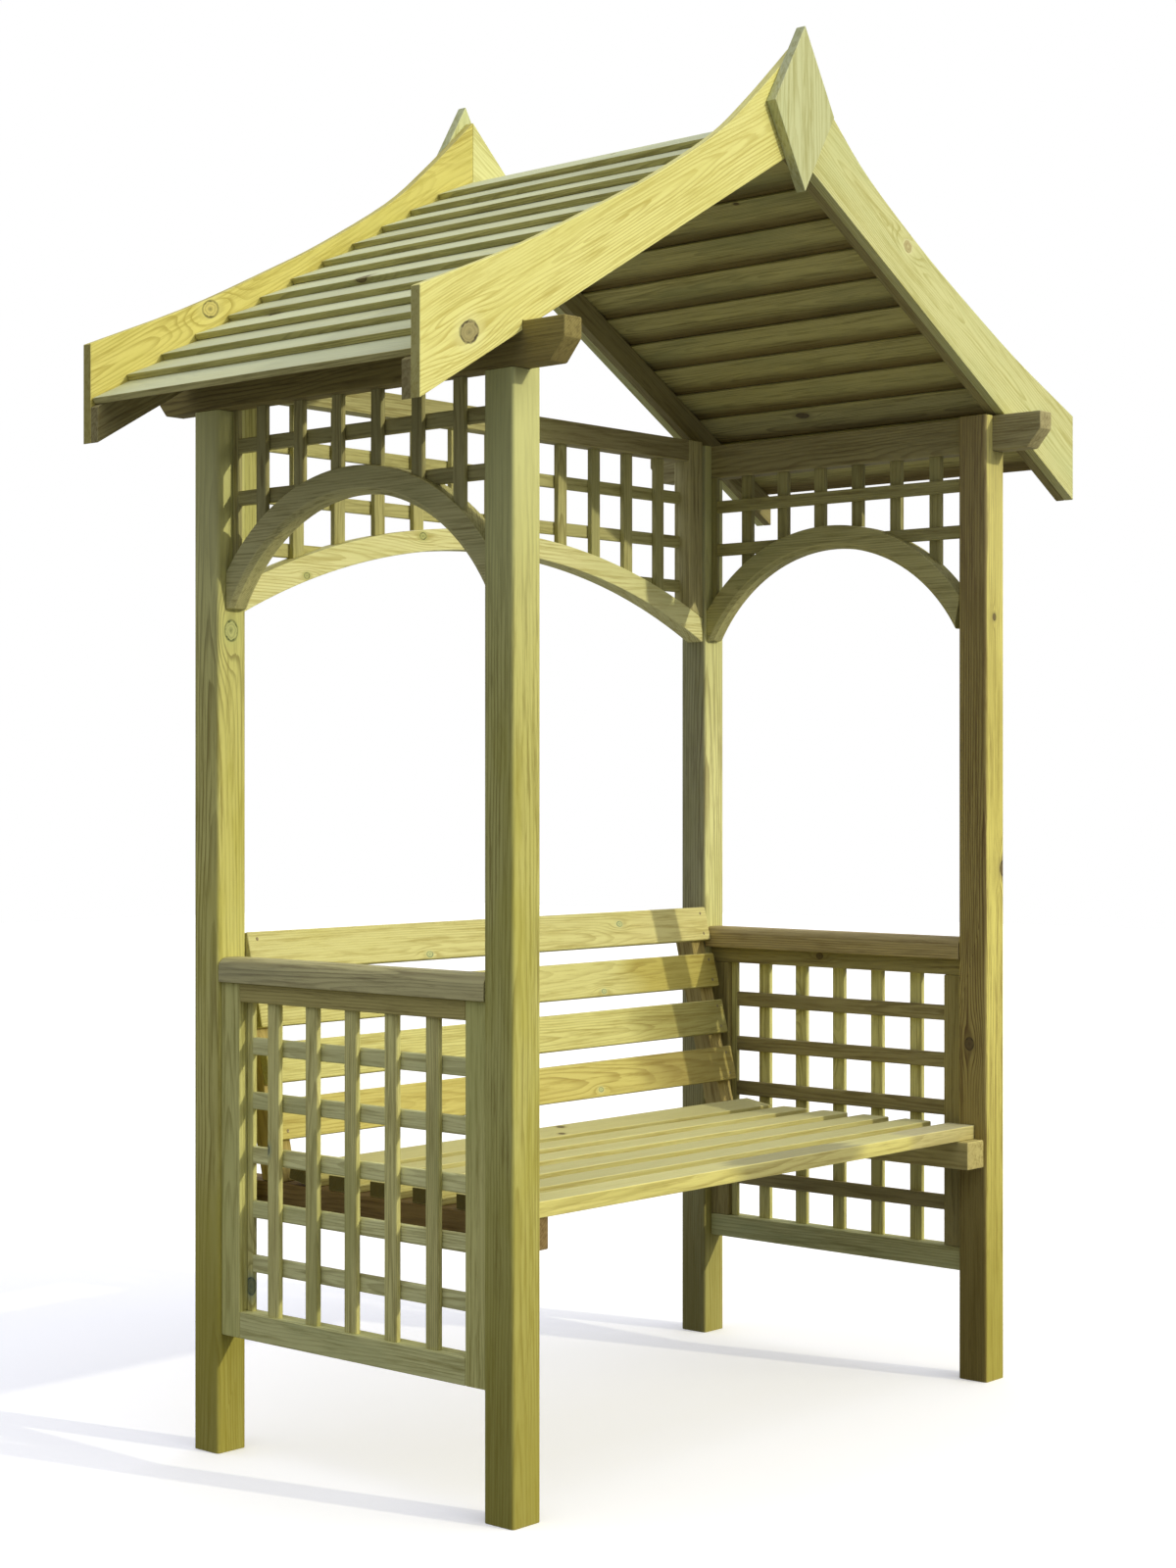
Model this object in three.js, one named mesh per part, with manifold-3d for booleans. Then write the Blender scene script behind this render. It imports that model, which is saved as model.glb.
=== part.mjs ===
// An arbour seat in pressure-treated softwood. Four posts carry two eaves beams and a boarded gable roof
// with swept bargeboards, the sides and back are filled with arches and trellis, and a slatted bench with a
// leaning backrest stands between the posts.
// Millimetres. +Z is up, X is the width and the front faces -Y. The origin is on the ground, at the centre.

import * as THREE from "three";
import { mergeVertices } from "three/addons/utils/BufferGeometryUtils.js";
import Module from "manifold-3d";

const wasm = await Module();
wasm.setup();

// Joints and cuts
const jointGap = 0.3; // clearance between two pieces that touch
const bond = 0.3; // overlap of two laths or boards that make one piece
const cutOverrun = 20; // how far a cutter runs past what it cuts
const arcSegments = 24;
const arrisSegments = 4;

// Posts and eaves beams
const frameWidth = 1310; // over the posts' outer faces, left to right
const frameDepth = 714; // over the posts' outer faces, front to back
const postSize = 60;
const postArris = 6;
const beamTop = 1753; // height of the eaves beams' top above the ground
const beamHeight = 64;
const beamThickness = 38;
const beamOverhang = 100; // past the posts, at the front and at the back
const beamNoseCut = 28; // length of the cut under a beam's end
const beamNoseRise = 33; // height of that cut

// Roof
const roofPitch = THREE.MathUtils.degToRad(30);
const roofOverhang = 209; // level distance from a post's outer face to the plumb cut at the eaves
const birdsmouthHeel = 14.4; // how far the rafters come down past a beam's top outer corner
const rafterThickness = 18;
const rafterDepth = 49; // square to the slope
const bargeThickness = 18.5;
const bargeApexHeight = 170; // plumb height at the ridge
// The bargeboard's swept top: share of the run from the ridge, and share of the height at the ridge.
const bargeTopShares = [
  [0, 1],
  [0.04, 0.925],
  [0.135, 0.765],
  [0.24, 0.645],
  [0.42, 0.62],
  [0.56, 0.655],
  [0.77, 0.745],
  [1, 0.925],
];
const bargeTopSegments = 28;
const finialWidth = 160;
const finialHeight = 271;
const finialThickness = 19;
const finialRise = 202; // its top point above the ridge of the rafters' underside
const roofBoardWidth = 95;
const roofBoardLap = 13; // the least lap of one board over the next
const roofBoardThick = 11.3; // lower edge
const roofBoardThin = 4.5; // upper edge
const roofBoardInset = 10; // from the plumb cut at the eaves to the lowest board, along the slope
const roofSections = 4; // groups of boards on each slope

// Arches and trellis above head height
const upperThickness = 39; // front to back of the arches and their frames
const upperRecess = 16; // from a post's outer face in to a side arch
const sideArchDrop = 113.5; // from a beam's underside to the top of a side arch
const sideArchBand = 43.5;
const sideArchRise = 165; // from its foot to the crown of its underside
const sideArchFoot = 14; // width of the level foot beside a post
const lathWidth = 24;
const lathThickness = 10;
const sideLathRecess = 20; // from a post's outer face in to the upper side laths
const sideTopLaths = 6;
const sideTopRows = 2;
const sideTopRowDrop = 58; // from a beam's underside to the middle of the first row
const sideTopRowPitch = 85;
const sideTopLathShift = 5; // of the uprights towards the front, off an even spacing
const endLathWidth = 15;
const backRecess = 5; // from a back post's inner corner back to the back panel's face
const backStileWidth = 41;
const backPanelRise = 7; // from the beams' top up to the back panel's top
const backRailHeight = 42;
const backArchDrop = 177; // from the back rail's underside to the top of the back arch
const backArchCrownDepth = 38;
const backArchEndDepth = 48; // plumb, at the posts
const backArchRise = 139; // from the springing to the crown of its underside
const backLathRecess = 15; // from the back panel's face to its laths
const backLaths = 11;
const backRows = 3;
const backRowDrop = 70; // from the back rail's underside to the middle of the first row
const backRowPitch = 87;
const backLathShift = 9; // of the uprights towards the right, off an even spacing

// Lower side panels and armrests
const sideFrameRecess = 7; // from a post's outer face in to the frame
const sideFrameThickness = 34;
const sideFrameBottom = 192.5; // height above the ground
const sideFrameHeight = 570.5;
const sideStileWidth = 44;
const sideTopRailHeight = 30;
const sideBottomRailHeight = 42.5;
const sideLathInset = 5.4; // from the frame's outer face in to the upright laths
const sideLaths = 5;
const sideLathWidth = 28; // broader than the upper laths
const sideRows = 5;
const sideRowTopGap = 71; // from the top rail to the middle of the first row
const sideRowBottomGap = 77; // from the bottom rail to the middle of the last row
const armrestThickness = 39.5;
const armrestRound = 17; // radius of its two upper edges

// Bench
const seatTop = 464.4; // height above the ground
const seatSlatThickness = 25;
const seatSlatWidth = 58;
const seatSlats = 6;
const seatDepth = 528; // from the front slat's front to the last slat's back, were it level
const lastSlatTilt = THREE.MathUtils.degToRad(9); // its back edge stands higher than its front edge
const seatSetback = 24.4; // from the posts' front faces back to the front slat
const slatEndGap = 1; // between a slat's end and a post
const bearerWidth = 52;
const bearerHeight = 50;
const bearerBackSetback = 5; // from the back posts' rear faces in to a bearer's end
const leftBearerSetback = 33; // from the front posts' front faces back to the left bearer's end
const rightBearerSetback = 5; // the same, for the right bearer
const backrestFootGap = 22; // from the last seat slat back to the supports, were it level
const backrestLean = THREE.MathUtils.degToRad(13.7);
const supportWidth = 38;
const supportDepth = 40; // square to the lean
const backSlatThickness = 19;
const backSlatWidth = 65.5;
const backSlats = 4;
const backSlatFirst = 67; // from the bearers' top up the lean to the lowest slat
const backSlatPitch = 92.3;

// Places that follow from the sizes
const outerX = frameWidth / 2;
const outerY = frameDepth / 2;
const innerX = outerX - postSize;
const innerY = outerY - postSize;
const beamBottom = beamTop - beamHeight;
const eavesX = outerX + roofOverhang;
const roofTan = Math.tan(roofPitch);
const rafterPlumbDepth = rafterDepth / Math.cos(roofPitch);
const apexUnderside = roofUnderside(0);
const sideFrameTop = sideFrameBottom + sideFrameHeight;
const bearerTop = seatTop - seatSlatThickness;
const backFrontY = innerY + backRecess;
const backPanelTop = beamTop + backPanelRise;
const backRailBottom = backPanelTop - backRailHeight;
const seatFrontY = -outerY + seatSetback;
const seatPitch = (seatDepth - seatSlatWidth) / (seatSlats - 1);

// Height of the straight underside of the rafters and bargeboards, at a distance x from the centre.
function roofUnderside(x) {
  return beamTop - birdsmouthHeel + (outerX - x) * roofTan;
}

// Materials, one function for each finish of the timber

function timber(colour, roughness) {
  return new THREE.MeshStandardMaterial({ color: colour, roughness, metalness: 0 });
}

const postTimber = () => timber(0xb4aa58, 0.8);
const roofTimber = () => timber(0x8a7f3c, 0.85);
const bargeTimber = () => timber(0xe0d27a, 0.7);
const finialTimber = () => timber(0xc6c98c, 0.75);
const roofBoardTimber = () => timber(0xa3aa80, 0.9);
const panelTimber = () => timber(0x9d9a55, 0.8);
const lathTimber = () => timber(0x8b8a4e, 0.85);
const armrestTimber = () => timber(0x857b50, 0.8);
const seatTimber = () => timber(0xd2c66e, 0.75);
const backrestTimber = () => timber(0xc9b96a, 0.75);

// Solids

// A closed geometry as a solid that can be joined and cut.
function toSolid(geometry) {
  const bare = geometry.clone();
  bare.deleteAttribute("normal");
  bare.deleteAttribute("uv");
  const merged = mergeVertices(bare);
  return new wasm.Manifold(
    new wasm.Mesh({
      numProp: 3,
      vertProperties: merged.attributes.position.array,
      triVerts: new Uint32Array(merged.index.array),
    }),
  );
}

function toGeometry(solid) {
  const { vertProperties, triVerts } = solid.getMesh();
  const geometry = new THREE.BufferGeometry();
  geometry.setAttribute("position", new THREE.BufferAttribute(vertProperties, 3));
  geometry.setIndex(new THREE.BufferAttribute(triVerts, 1));
  geometry.computeVertexNormals();
  return geometry;
}

const join = (geometries) => toGeometry(geometries.map(toSolid).reduce((whole, next) => whole.add(next)));

function cut(geometry, ...cutters) {
  return toGeometry(cutters.map(toSolid).reduce((left, cutter) => left.subtract(cutter), toSolid(geometry)));
}

const box = (x, y, z) => new THREE.BoxGeometry(x, y, z);

function extrude(shape, depth) {
  const options = { depth, bevelEnabled: false, curveSegments: arcSegments };
  return new THREE.ExtrudeGeometry(shape, options).translate(0, 0, -depth / 2);
}

// A board drawn from the front: across is X, up is Z and its thickness is along Y, centred.
const boardFacingFront = (shape, thickness) => extrude(shape, thickness).rotateX(Math.PI / 2);

// A board drawn from the side: across is Y, up is Z and its thickness is along X, centred.
const boardFacingSide = (shape, thickness) => boardFacingFront(shape, thickness).rotateZ(Math.PI / 2);

const outline = (points) => new THREE.Shape(points.map(([across, up]) => new THREE.Vector2(across, up)));

function piece(name, geometry, material, x = 0, y = 0, z = 0) {
  const mesh = new THREE.Mesh(geometry, material);
  mesh.name = name;
  mesh.position.set(x, y, z);
  return mesh;
}

// Middles of pieces of one width, spread over a clear opening with equal gaps.
function spread(clear, count, width) {
  const gap = (clear - count * width) / (count + 1);
  return Array.from({ length: count }, (_, i) => -clear / 2 + gap * (i + 1) + width * (i + 1 / 2));
}

const leftRight = [
  ["left", -1],
  ["right", 1],
];
const frontBack = [
  ["front", -1],
  ["back", 1],
];

// Posts: square, with rounded arrises, and a rebate for the eaves beam in the outer side of the top.

function roundedSquare(size, radius) {
  const half = size / 2;
  const inner = half - radius;
  const shape = new THREE.Shape();
  shape.absarc(inner, inner, radius, 0, Math.PI / 2);
  shape.absarc(-inner, inner, radius, Math.PI / 2, Math.PI);
  shape.absarc(-inner, -inner, radius, Math.PI, (Math.PI * 3) / 2);
  shape.absarc(inner, -inner, radius, (Math.PI * 3) / 2, Math.PI * 2);
  return new THREE.Shape(shape.getPoints(arrisSegments));
}

function post(side) {
  const stick = extrude(roundedSquare(postSize, postArris), beamTop).translate(0, 0, beamTop / 2);
  const rebateFloor = beamBottom - jointGap;
  const rebateHeight = beamTop - rebateFloor + cutOverrun;
  const rebateDepth = beamThickness + jointGap + cutOverrun;
  const rebateX = postSize / 2 + cutOverrun - rebateDepth / 2;
  const rebate = box(rebateDepth, postSize + 2 * cutOverrun, rebateHeight);
  rebate.translate(side * rebateX, 0, rebateFloor + rebateHeight / 2);
  return cut(stick, rebate);
}

function posts() {
  const group = new THREE.Group();
  for (const [end, frontOrBack] of frontBack)
    for (const [hand, side] of leftRight) {
      const x = side * (outerX - postSize / 2);
      const y = frontOrBack * (outerY - postSize / 2);
      group.add(piece(`post_${end}_${hand}`, post(side), postTimber(), x, y));
    }
  return group;
}

// Eaves beams: one along each side, with the lower corner of both ends cut away.

function eavesBeams() {
  const half = outerY + beamOverhang;
  const underHalf = half - beamNoseCut;
  const profile = outline([
    [-half, beamHeight],
    [-half, beamNoseRise],
    [-underHalf, 0],
    [underHalf, 0],
    [half, beamNoseRise],
    [half, beamHeight],
  ]);
  const group = new THREE.Group();
  for (const [hand, side] of leftRight) {
    const beam = boardFacingSide(profile, beamThickness);
    const x = side * (outerX - beamThickness / 2);
    group.add(piece(`eaves_beam_${hand}`, beam, roofTimber(), x, 0, beamBottom));
  }
  return group;
}

// Rafters and bargeboards share a straight underside with a birdsmouth over the eaves beam.

function undersidePoints() {
  const seatZ = beamTop + jointGap;
  const seatInnerX = outerX - (birdsmouthHeel + jointGap) / roofTan;
  const heelX = outerX + jointGap;
  return [
    [jointGap / 2, roofUnderside(jointGap / 2)],
    [seatInnerX, seatZ],
    [heelX, seatZ],
    [heelX, roofUnderside(heelX)],
    [eavesX, roofUnderside(eavesX)],
  ];
}

function rafterTopPoints() {
  return [
    [eavesX, roofUnderside(eavesX) + rafterPlumbDepth],
    [jointGap / 2, roofUnderside(jointGap / 2) + rafterPlumbDepth],
  ];
}

function bargeTopPoints() {
  const knots = bargeTopShares.map(([runShare, heightShare]) => {
    const x = Math.max(runShare * eavesX, jointGap / 2);
    return new THREE.Vector2(x, roofUnderside(x) + heightShare * bargeApexHeight);
  });
  const curve = new THREE.SplineCurve(knots.reverse());
  return curve.getPoints(bargeTopSegments).map((point) => [point.x, point.y]);
}

const mirrored = (points, side) => points.map(([x, z]) => [side * x, z]);

function gables() {
  const rafter = [...undersidePoints(), ...rafterTopPoints()];
  const bargeboard = [...undersidePoints(), ...bargeTopPoints()];
  const rafterY = outerY - rafterThickness / 2;
  const bargeY = outerY + jointGap + bargeThickness / 2;
  const group = new THREE.Group();
  for (const [end, frontOrBack] of frontBack)
    for (const [hand, side] of leftRight) {
      const rafterBoard = boardFacingFront(outline(mirrored(rafter, side)), rafterThickness);
      const bargeBoard = boardFacingFront(outline(mirrored(bargeboard, side)), bargeThickness);
      group.add(piece(`rafter_${end}_${hand}`, rafterBoard, roofTimber(), 0, frontOrBack * rafterY));
      group.add(piece(`bargeboard_${end}_${hand}`, bargeBoard, bargeTimber(), 0, frontOrBack * bargeY));
    }
  return group;
}

// Finials: diamond boards over the joint where each pair of bargeboards meets.

function finials() {
  const diamond = outline([
    [0, -finialHeight / 2],
    [finialWidth / 2, 0],
    [0, finialHeight / 2],
    [-finialWidth / 2, 0],
  ]);
  const y = outerY + bargeThickness + 2 * jointGap + finialThickness / 2;
  const z = apexUnderside + finialRise - finialHeight / 2;
  const group = new THREE.Group();
  for (const [end, frontOrBack] of frontBack) {
    const board = boardFacingFront(diamond, finialThickness);
    group.add(piece(`finial_${end}`, board, finialTimber(), 0, frontOrBack * y, z));
  }
  return group;
}

// Roof boards: feather-edged, each lapped over the next one down and resting on the rafters at its thin
// edge. Drawn along the slope: across is the distance down from the ridge, up is square to the rafters.

function roofBoardOutline(lowerEdge, lift) {
  const upperEdge = lowerEdge - roofBoardWidth;
  return outline([
    [upperEdge, jointGap],
    [lowerEdge, lift],
    [lowerEdge, lift + roofBoardThick],
    [upperEdge, jointGap + roofBoardThin],
  ]);
}

// One section of boards for each group, from the eaves up.
function roofSectionGeometries() {
  const slopeRun = eavesX / Math.cos(roofPitch) - roofBoardInset;
  const steps = Math.ceil((slopeRun - roofBoardWidth) / (roofBoardWidth - roofBoardLap));
  const boardPitch = (slopeRun - roofBoardWidth) / steps;
  const lapShare = (roofBoardWidth - boardPitch) / roofBoardWidth;
  const boards = steps + 1;
  const perSection = Math.ceil(boards / roofSections);
  const length = 2 * (outerY - jointGap);
  const sections = [];
  let lift = jointGap;
  for (let i = 0; i < boards; i++) {
    const opensSection = i % perSection === 0;
    if (opensSection) sections.push([]);
    if (i > 0) {
      const thinTop = jointGap + roofBoardThin;
      const topBelow = thinTop + lapShare * (lift + roofBoardThick - thinTop);
      lift = topBelow + (opensSection ? jointGap : -bond);
    }
    const shape = roofBoardOutline(slopeRun + jointGap - i * boardPitch, lift);
    sections.at(-1).push(boardFacingFront(shape, length));
  }
  return sections.map(join);
}

function roofBoards() {
  const group = new THREE.Group();
  for (const [hand, side] of leftRight) {
    const half = new THREE.Group();
    half.rotation.z = side > 0 ? 0 : Math.PI;
    const slope = new THREE.Group();
    slope.position.z = apexUnderside + rafterPlumbDepth;
    slope.rotation.y = roofPitch;
    roofSectionGeometries().forEach((section, i) => {
      slope.add(piece(`roof_boards_${hand}_${i + 1}`, section, roofBoardTimber()));
    });
    half.add(slope);
    group.add(half);
  }
  return group;
}

// Arches. An arc over a chord is given by half the chord and its rise.

const arcRadius = (halfChord, rise) => (halfChord ** 2 + rise ** 2) / (2 * rise);

// Adds an arc over the top, from one end of its chord to the other.
function arcOver(path, crownZ, radius, halfChord, toRight) {
  const centreZ = crownZ - radius;
  const endAngle = Math.acos(halfChord / radius);
  if (toRight) path.absarc(0, centreZ, radius, Math.PI - endAngle, endAngle, true);
  else path.absarc(0, centreZ, radius, endAngle, Math.PI - endAngle, false);
}

const arcHeight = (x, crownZ, radius) => crownZ - radius + Math.sqrt(radius ** 2 - x ** 2);

// All that lies under an arc, down to a floor, with the joint's clearance added.
function underArc(halfWidth, crownZ, radius, floorZ) {
  const grown = radius + jointGap;
  const crown = crownZ + jointGap;
  const shape = new THREE.Shape();
  shape.moveTo(-halfWidth, floorZ);
  shape.lineTo(halfWidth, floorZ);
  shape.lineTo(halfWidth, arcHeight(halfWidth, crown, grown));
  arcOver(shape, crown, grown, halfWidth, false);
  return shape;
}

// The upper sides: an arch between the front and back posts, and trellis from it to the eaves beam.

const sideArchHalf = innerY - jointGap;
const sideArchCrown = beamBottom - sideArchDrop;
const sideArchUnderside = sideArchCrown - sideArchBand;
const sideArchFootZ = sideArchUnderside - sideArchRise;
const sideArchRadius = arcRadius(sideArchHalf - sideArchFoot, sideArchRise);

function sideArchShape() {
  const outerRadius = sideArchRadius + sideArchBand;
  const shape = new THREE.Shape();
  shape.moveTo(-sideArchHalf, sideArchFootZ);
  arcOver(shape, sideArchUnderside, sideArchRadius, sideArchHalf - sideArchFoot, true);
  shape.lineTo(sideArchHalf, sideArchFootZ);
  arcOver(shape, sideArchCrown, outerRadius, sideArchHalf, false);
  return shape;
}

function sideTopTrellis(side) {
  const depth = (recess) => -side * (recess + lathThickness / 2);
  const top = beamBottom - jointGap;
  const bottom = sideArchFootZ;
  const uprights = spread(2 * innerY, sideTopLaths, lathWidth).map((evenY) => {
    const y = evenY - sideTopLathShift;
    return box(lathThickness + bond, lathWidth, top - bottom).translate(depth(sideLathRecess), y, (top + bottom) / 2);
  });
  const rowX = depth(sideLathRecess + lathThickness);
  const rows = Array.from({ length: sideTopRows }, (_, i) => {
    const z = beamBottom - sideTopRowDrop - i * sideTopRowPitch;
    return box(lathThickness, 2 * sideArchHalf, lathWidth).translate(rowX, 0, z);
  });
  const endLath = box(lathThickness, endLathWidth, top - bottom);
  endLath.translate(rowX, sideArchHalf - endLathWidth / 2, (top + bottom) / 2);
  const below = underArc(innerY, sideArchCrown, sideArchRadius + sideArchBand, bottom - cutOverrun);
  const arch = boardFacingSide(below, 2 * upperThickness).translate(rowX, 0, 0);
  return cut(join([...uprights, ...rows, endLath]), arch);
}

function upperSides() {
  const group = new THREE.Group();
  for (const [hand, side] of leftRight) {
    const arch = boardFacingSide(sideArchShape(), upperThickness);
    const archX = side * (outerX - upperRecess - upperThickness / 2);
    group.add(piece(`side_arch_${hand}`, arch, panelTimber(), archX));
    group.add(piece(`side_top_trellis_${hand}`, sideTopTrellis(side), lathTimber(), side * outerX));
  }
  return group;
}

// The upper back: an arch between the back posts, two stiles on its ends, a rail and trellis.

const backArchHalf = innerX - jointGap;
const backArchCrown = backRailBottom - backArchDrop;
const backArchUnderside = backArchCrown - backArchCrownDepth;
const backArchSpring = backArchUnderside - backArchRise;
const backArchOuterRise = backArchRise + backArchCrownDepth - backArchEndDepth;
const backArchOuterRadius = arcRadius(backArchHalf, backArchOuterRise);
const backStileX = backArchHalf - backStileWidth / 2;
const backClearHalf = backArchHalf - backStileWidth;
const backMiddleY = backFrontY + upperThickness / 2;

function backArchShape() {
  const shape = new THREE.Shape();
  shape.moveTo(-backArchHalf, backArchSpring);
  arcOver(shape, backArchUnderside, arcRadius(backArchHalf, backArchRise), backArchHalf, true);
  arcOver(shape, backArchCrown, backArchOuterRadius, backArchHalf, false);
  return shape;
}

// The space under the back arch's top edge, through the panel's whole thickness.
function backArchCutter() {
  const below = underArc(innerX, backArchCrown, backArchOuterRadius, backArchSpring - cutOverrun);
  return boardFacingFront(below, 2 * upperThickness);
}

function backStile(side) {
  const stile = box(backStileWidth, upperThickness, backPanelTop - backArchSpring);
  stile.translate(side * backStileX, 0, (backPanelTop + backArchSpring) / 2);
  return cut(stile, backArchCutter());
}

function backTrellis() {
  const top = backRailBottom - jointGap;
  const bottom = backArchSpring;
  const uprightY = backLathRecess + lathThickness / 2 - upperThickness / 2;
  const uprights = spread(2 * backClearHalf, backLaths, lathWidth).map((x) =>
    box(lathWidth, lathThickness + bond, top - bottom).translate(x + backLathShift, uprightY, (top + bottom) / 2),
  );
  const rows = Array.from({ length: backRows }, (_, i) => {
    const z = backRailBottom - backRowDrop - i * backRowPitch;
    return box(2 * (backClearHalf - jointGap), lathThickness, lathWidth).translate(0, uprightY + lathThickness, z);
  });
  return cut(join([...uprights, ...rows]), backArchCutter());
}

function upperBack() {
  const group = new THREE.Group();
  group.position.y = backMiddleY;
  group.add(piece("back_arch", boardFacingFront(backArchShape(), upperThickness), panelTimber()));
  const rail = box(2 * (backClearHalf - jointGap), upperThickness, backRailHeight);
  group.add(piece("back_top_rail", rail, panelTimber(), 0, 0, backPanelTop - backRailHeight / 2));
  for (const [hand, side] of leftRight) group.add(piece(`back_stile_${hand}`, backStile(side), panelTimber()));
  group.add(piece("back_trellis", backTrellis(), lathTimber()));
  return group;
}

// The lower sides: a frame of two stiles and two rails, half-lapped so that the stiles show full height
// outside and the rails full length inside. Trellis fills it and an armrest covers it.
// Each is drawn with its outer face at x = 0 and the middle of its lap at half the frame's thickness.

const sideFrameHalf = innerY - jointGap;
const sideClearHalf = sideFrameHalf - sideStileWidth;
const sideMiddle = sideFrameThickness / 2;

function sideStile(side, frontOrBack) {
  const stile = box(sideFrameThickness, sideStileWidth, sideFrameHeight);
  const lapWidth = sideMiddle + cutOverrun;
  const lap = (railHeight, upOrDown) => {
    const height = railHeight + jointGap + cutOverrun;
    const z = upOrDown * (sideFrameHeight / 2 + cutOverrun - height / 2);
    return box(lapWidth, sideStileWidth + 2 * cutOverrun, height).translate(-side * (lapWidth / 2), 0, z);
  };
  const lapped = cut(stile, lap(sideTopRailHeight, 1), lap(sideBottomRailHeight, -1));
  return lapped.translate(0, frontOrBack * (sideFrameHalf - sideStileWidth / 2), 0);
}

function sideRail(side, height) {
  const rail = box(sideFrameThickness, 2 * sideFrameHalf, height);
  const lapWidth = sideMiddle + jointGap + cutOverrun;
  const lapLength = sideStileWidth + jointGap + cutOverrun;
  const lapX = side * (lapWidth / 2 - jointGap);
  const lap = (frontOrBack) => {
    const y = frontOrBack * (sideFrameHalf + cutOverrun - lapLength / 2);
    return box(lapWidth, lapLength, height + 2 * cutOverrun).translate(lapX, y, 0);
  };
  return cut(rail, lap(1), lap(-1));
}

function sideTrellis(side) {
  const top = sideFrameTop - sideTopRailHeight - jointGap;
  const bottom = sideFrameBottom + sideBottomRailHeight + jointGap;
  const uprightX = -side * (sideLathInset + lathThickness / 2);
  const rowX = uprightX - side * lathThickness;
  const uprights = spread(2 * sideClearHalf, sideLaths, sideLathWidth).map((y) =>
    box(lathThickness + bond, sideLathWidth, top - bottom).translate(uprightX, y, (top + bottom) / 2),
  );
  const firstRow = top - sideRowTopGap;
  const rowPitch = (firstRow - bottom - sideRowBottomGap) / (sideRows - 1);
  const length = 2 * (sideClearHalf - jointGap);
  const rows = Array.from({ length: sideRows }, (_, i) =>
    box(lathThickness, length, sideLathWidth).translate(rowX, 0, firstRow - i * rowPitch),
  );
  const endLath = box(lathThickness, endLathWidth, top - bottom);
  endLath.translate(rowX, (length - endLathWidth) / 2, (top + bottom) / 2);
  return join([...uprights, ...rows, endLath]);
}

function armrest() {
  const half = postSize / 2;
  const inner = half - armrestRound;
  const shoulder = armrestThickness - armrestRound;
  const profile = new THREE.Shape();
  profile.moveTo(-half, 0);
  profile.lineTo(half, 0);
  profile.absarc(inner, shoulder, armrestRound, 0, Math.PI / 2);
  profile.absarc(-inner, shoulder, armrestRound, Math.PI / 2, Math.PI);
  return boardFacingFront(new THREE.Shape(profile.getPoints(2 * arrisSegments)), 2 * sideFrameHalf);
}

function lowerSides() {
  const group = new THREE.Group();
  for (const [hand, side] of leftRight) {
    const faceX = side * (outerX - sideFrameRecess);
    const frameX = faceX - side * sideMiddle;
    const middleZ = sideFrameBottom + sideFrameHeight / 2;
    for (const [end, frontOrBack] of frontBack) {
      const stile = sideStile(side, frontOrBack);
      group.add(piece(`side_stile_${end}_${hand}`, stile, panelTimber(), frameX, 0, middleZ));
    }
    const topRailZ = sideFrameTop - sideTopRailHeight / 2;
    const bottomRailZ = sideFrameBottom + sideBottomRailHeight / 2;
    const topRail = sideRail(side, sideTopRailHeight);
    const bottomRail = sideRail(side, sideBottomRailHeight);
    group.add(piece(`side_top_rail_${hand}`, topRail, panelTimber(), frameX, 0, topRailZ));
    group.add(piece(`side_bottom_rail_${hand}`, bottomRail, panelTimber(), frameX, 0, bottomRailZ));
    group.add(piece(`side_trellis_${hand}`, sideTrellis(side), lathTimber(), faceX));
    const armrestX = side * (outerX - postSize / 2);
    group.add(piece(`armrest_${hand}`, armrest(), armrestTimber(), armrestX, 0, sideFrameTop + jointGap));
  }
  return group;
}

// The bench: a bearer on the posts' inner faces at each end, with slats across them.

function bearer(hand, side, frontSetback) {
  const frontY = -outerY + frontSetback;
  const backY = outerY - bearerBackSetback;
  const x = side * (innerX - jointGap - bearerWidth / 2);
  const stick = box(bearerWidth, backY - frontY, bearerHeight);
  const z = bearerTop - bearerHeight / 2;
  return piece(`seat_bearer_${hand}`, stick, roofTimber(), x, (backY + frontY) / 2, z);
}

function seat() {
  const group = new THREE.Group();
  group.add(bearer("left", -1, leftBearerSetback));
  group.add(bearer("right", 1, rightBearerSetback));
  const thickness = seatSlatThickness - jointGap;
  for (let i = 0; i < seatSlats; i++) {
    const slat = box(2 * (innerX - slatEndGap), seatSlatWidth, thickness);
    slat.translate(0, seatSlatWidth / 2, thickness / 2);
    if (i === seatSlats - 1) slat.rotateX(lastSlatTilt);
    group.add(piece(`seat_slat_${i + 1}`, slat, seatTimber(), 0, seatFrontY + i * seatPitch, bearerTop + jointGap));
  }
  return group;
}

// The backrest leans. Its group stands on the bearers, turned so that its up runs up the lean and its
// supports' front faces lie in the plane y = 0.

function supportGeometry(length) {
  const footZ = jointGap / Math.cos(backrestLean);
  const footRise = supportDepth * Math.tan(backrestLean);
  const profile = outline([
    [0, footZ],
    [supportDepth, footZ + footRise],
    [supportDepth, length],
    [0, length],
  ]);
  return boardFacingSide(profile, supportWidth);
}

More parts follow.
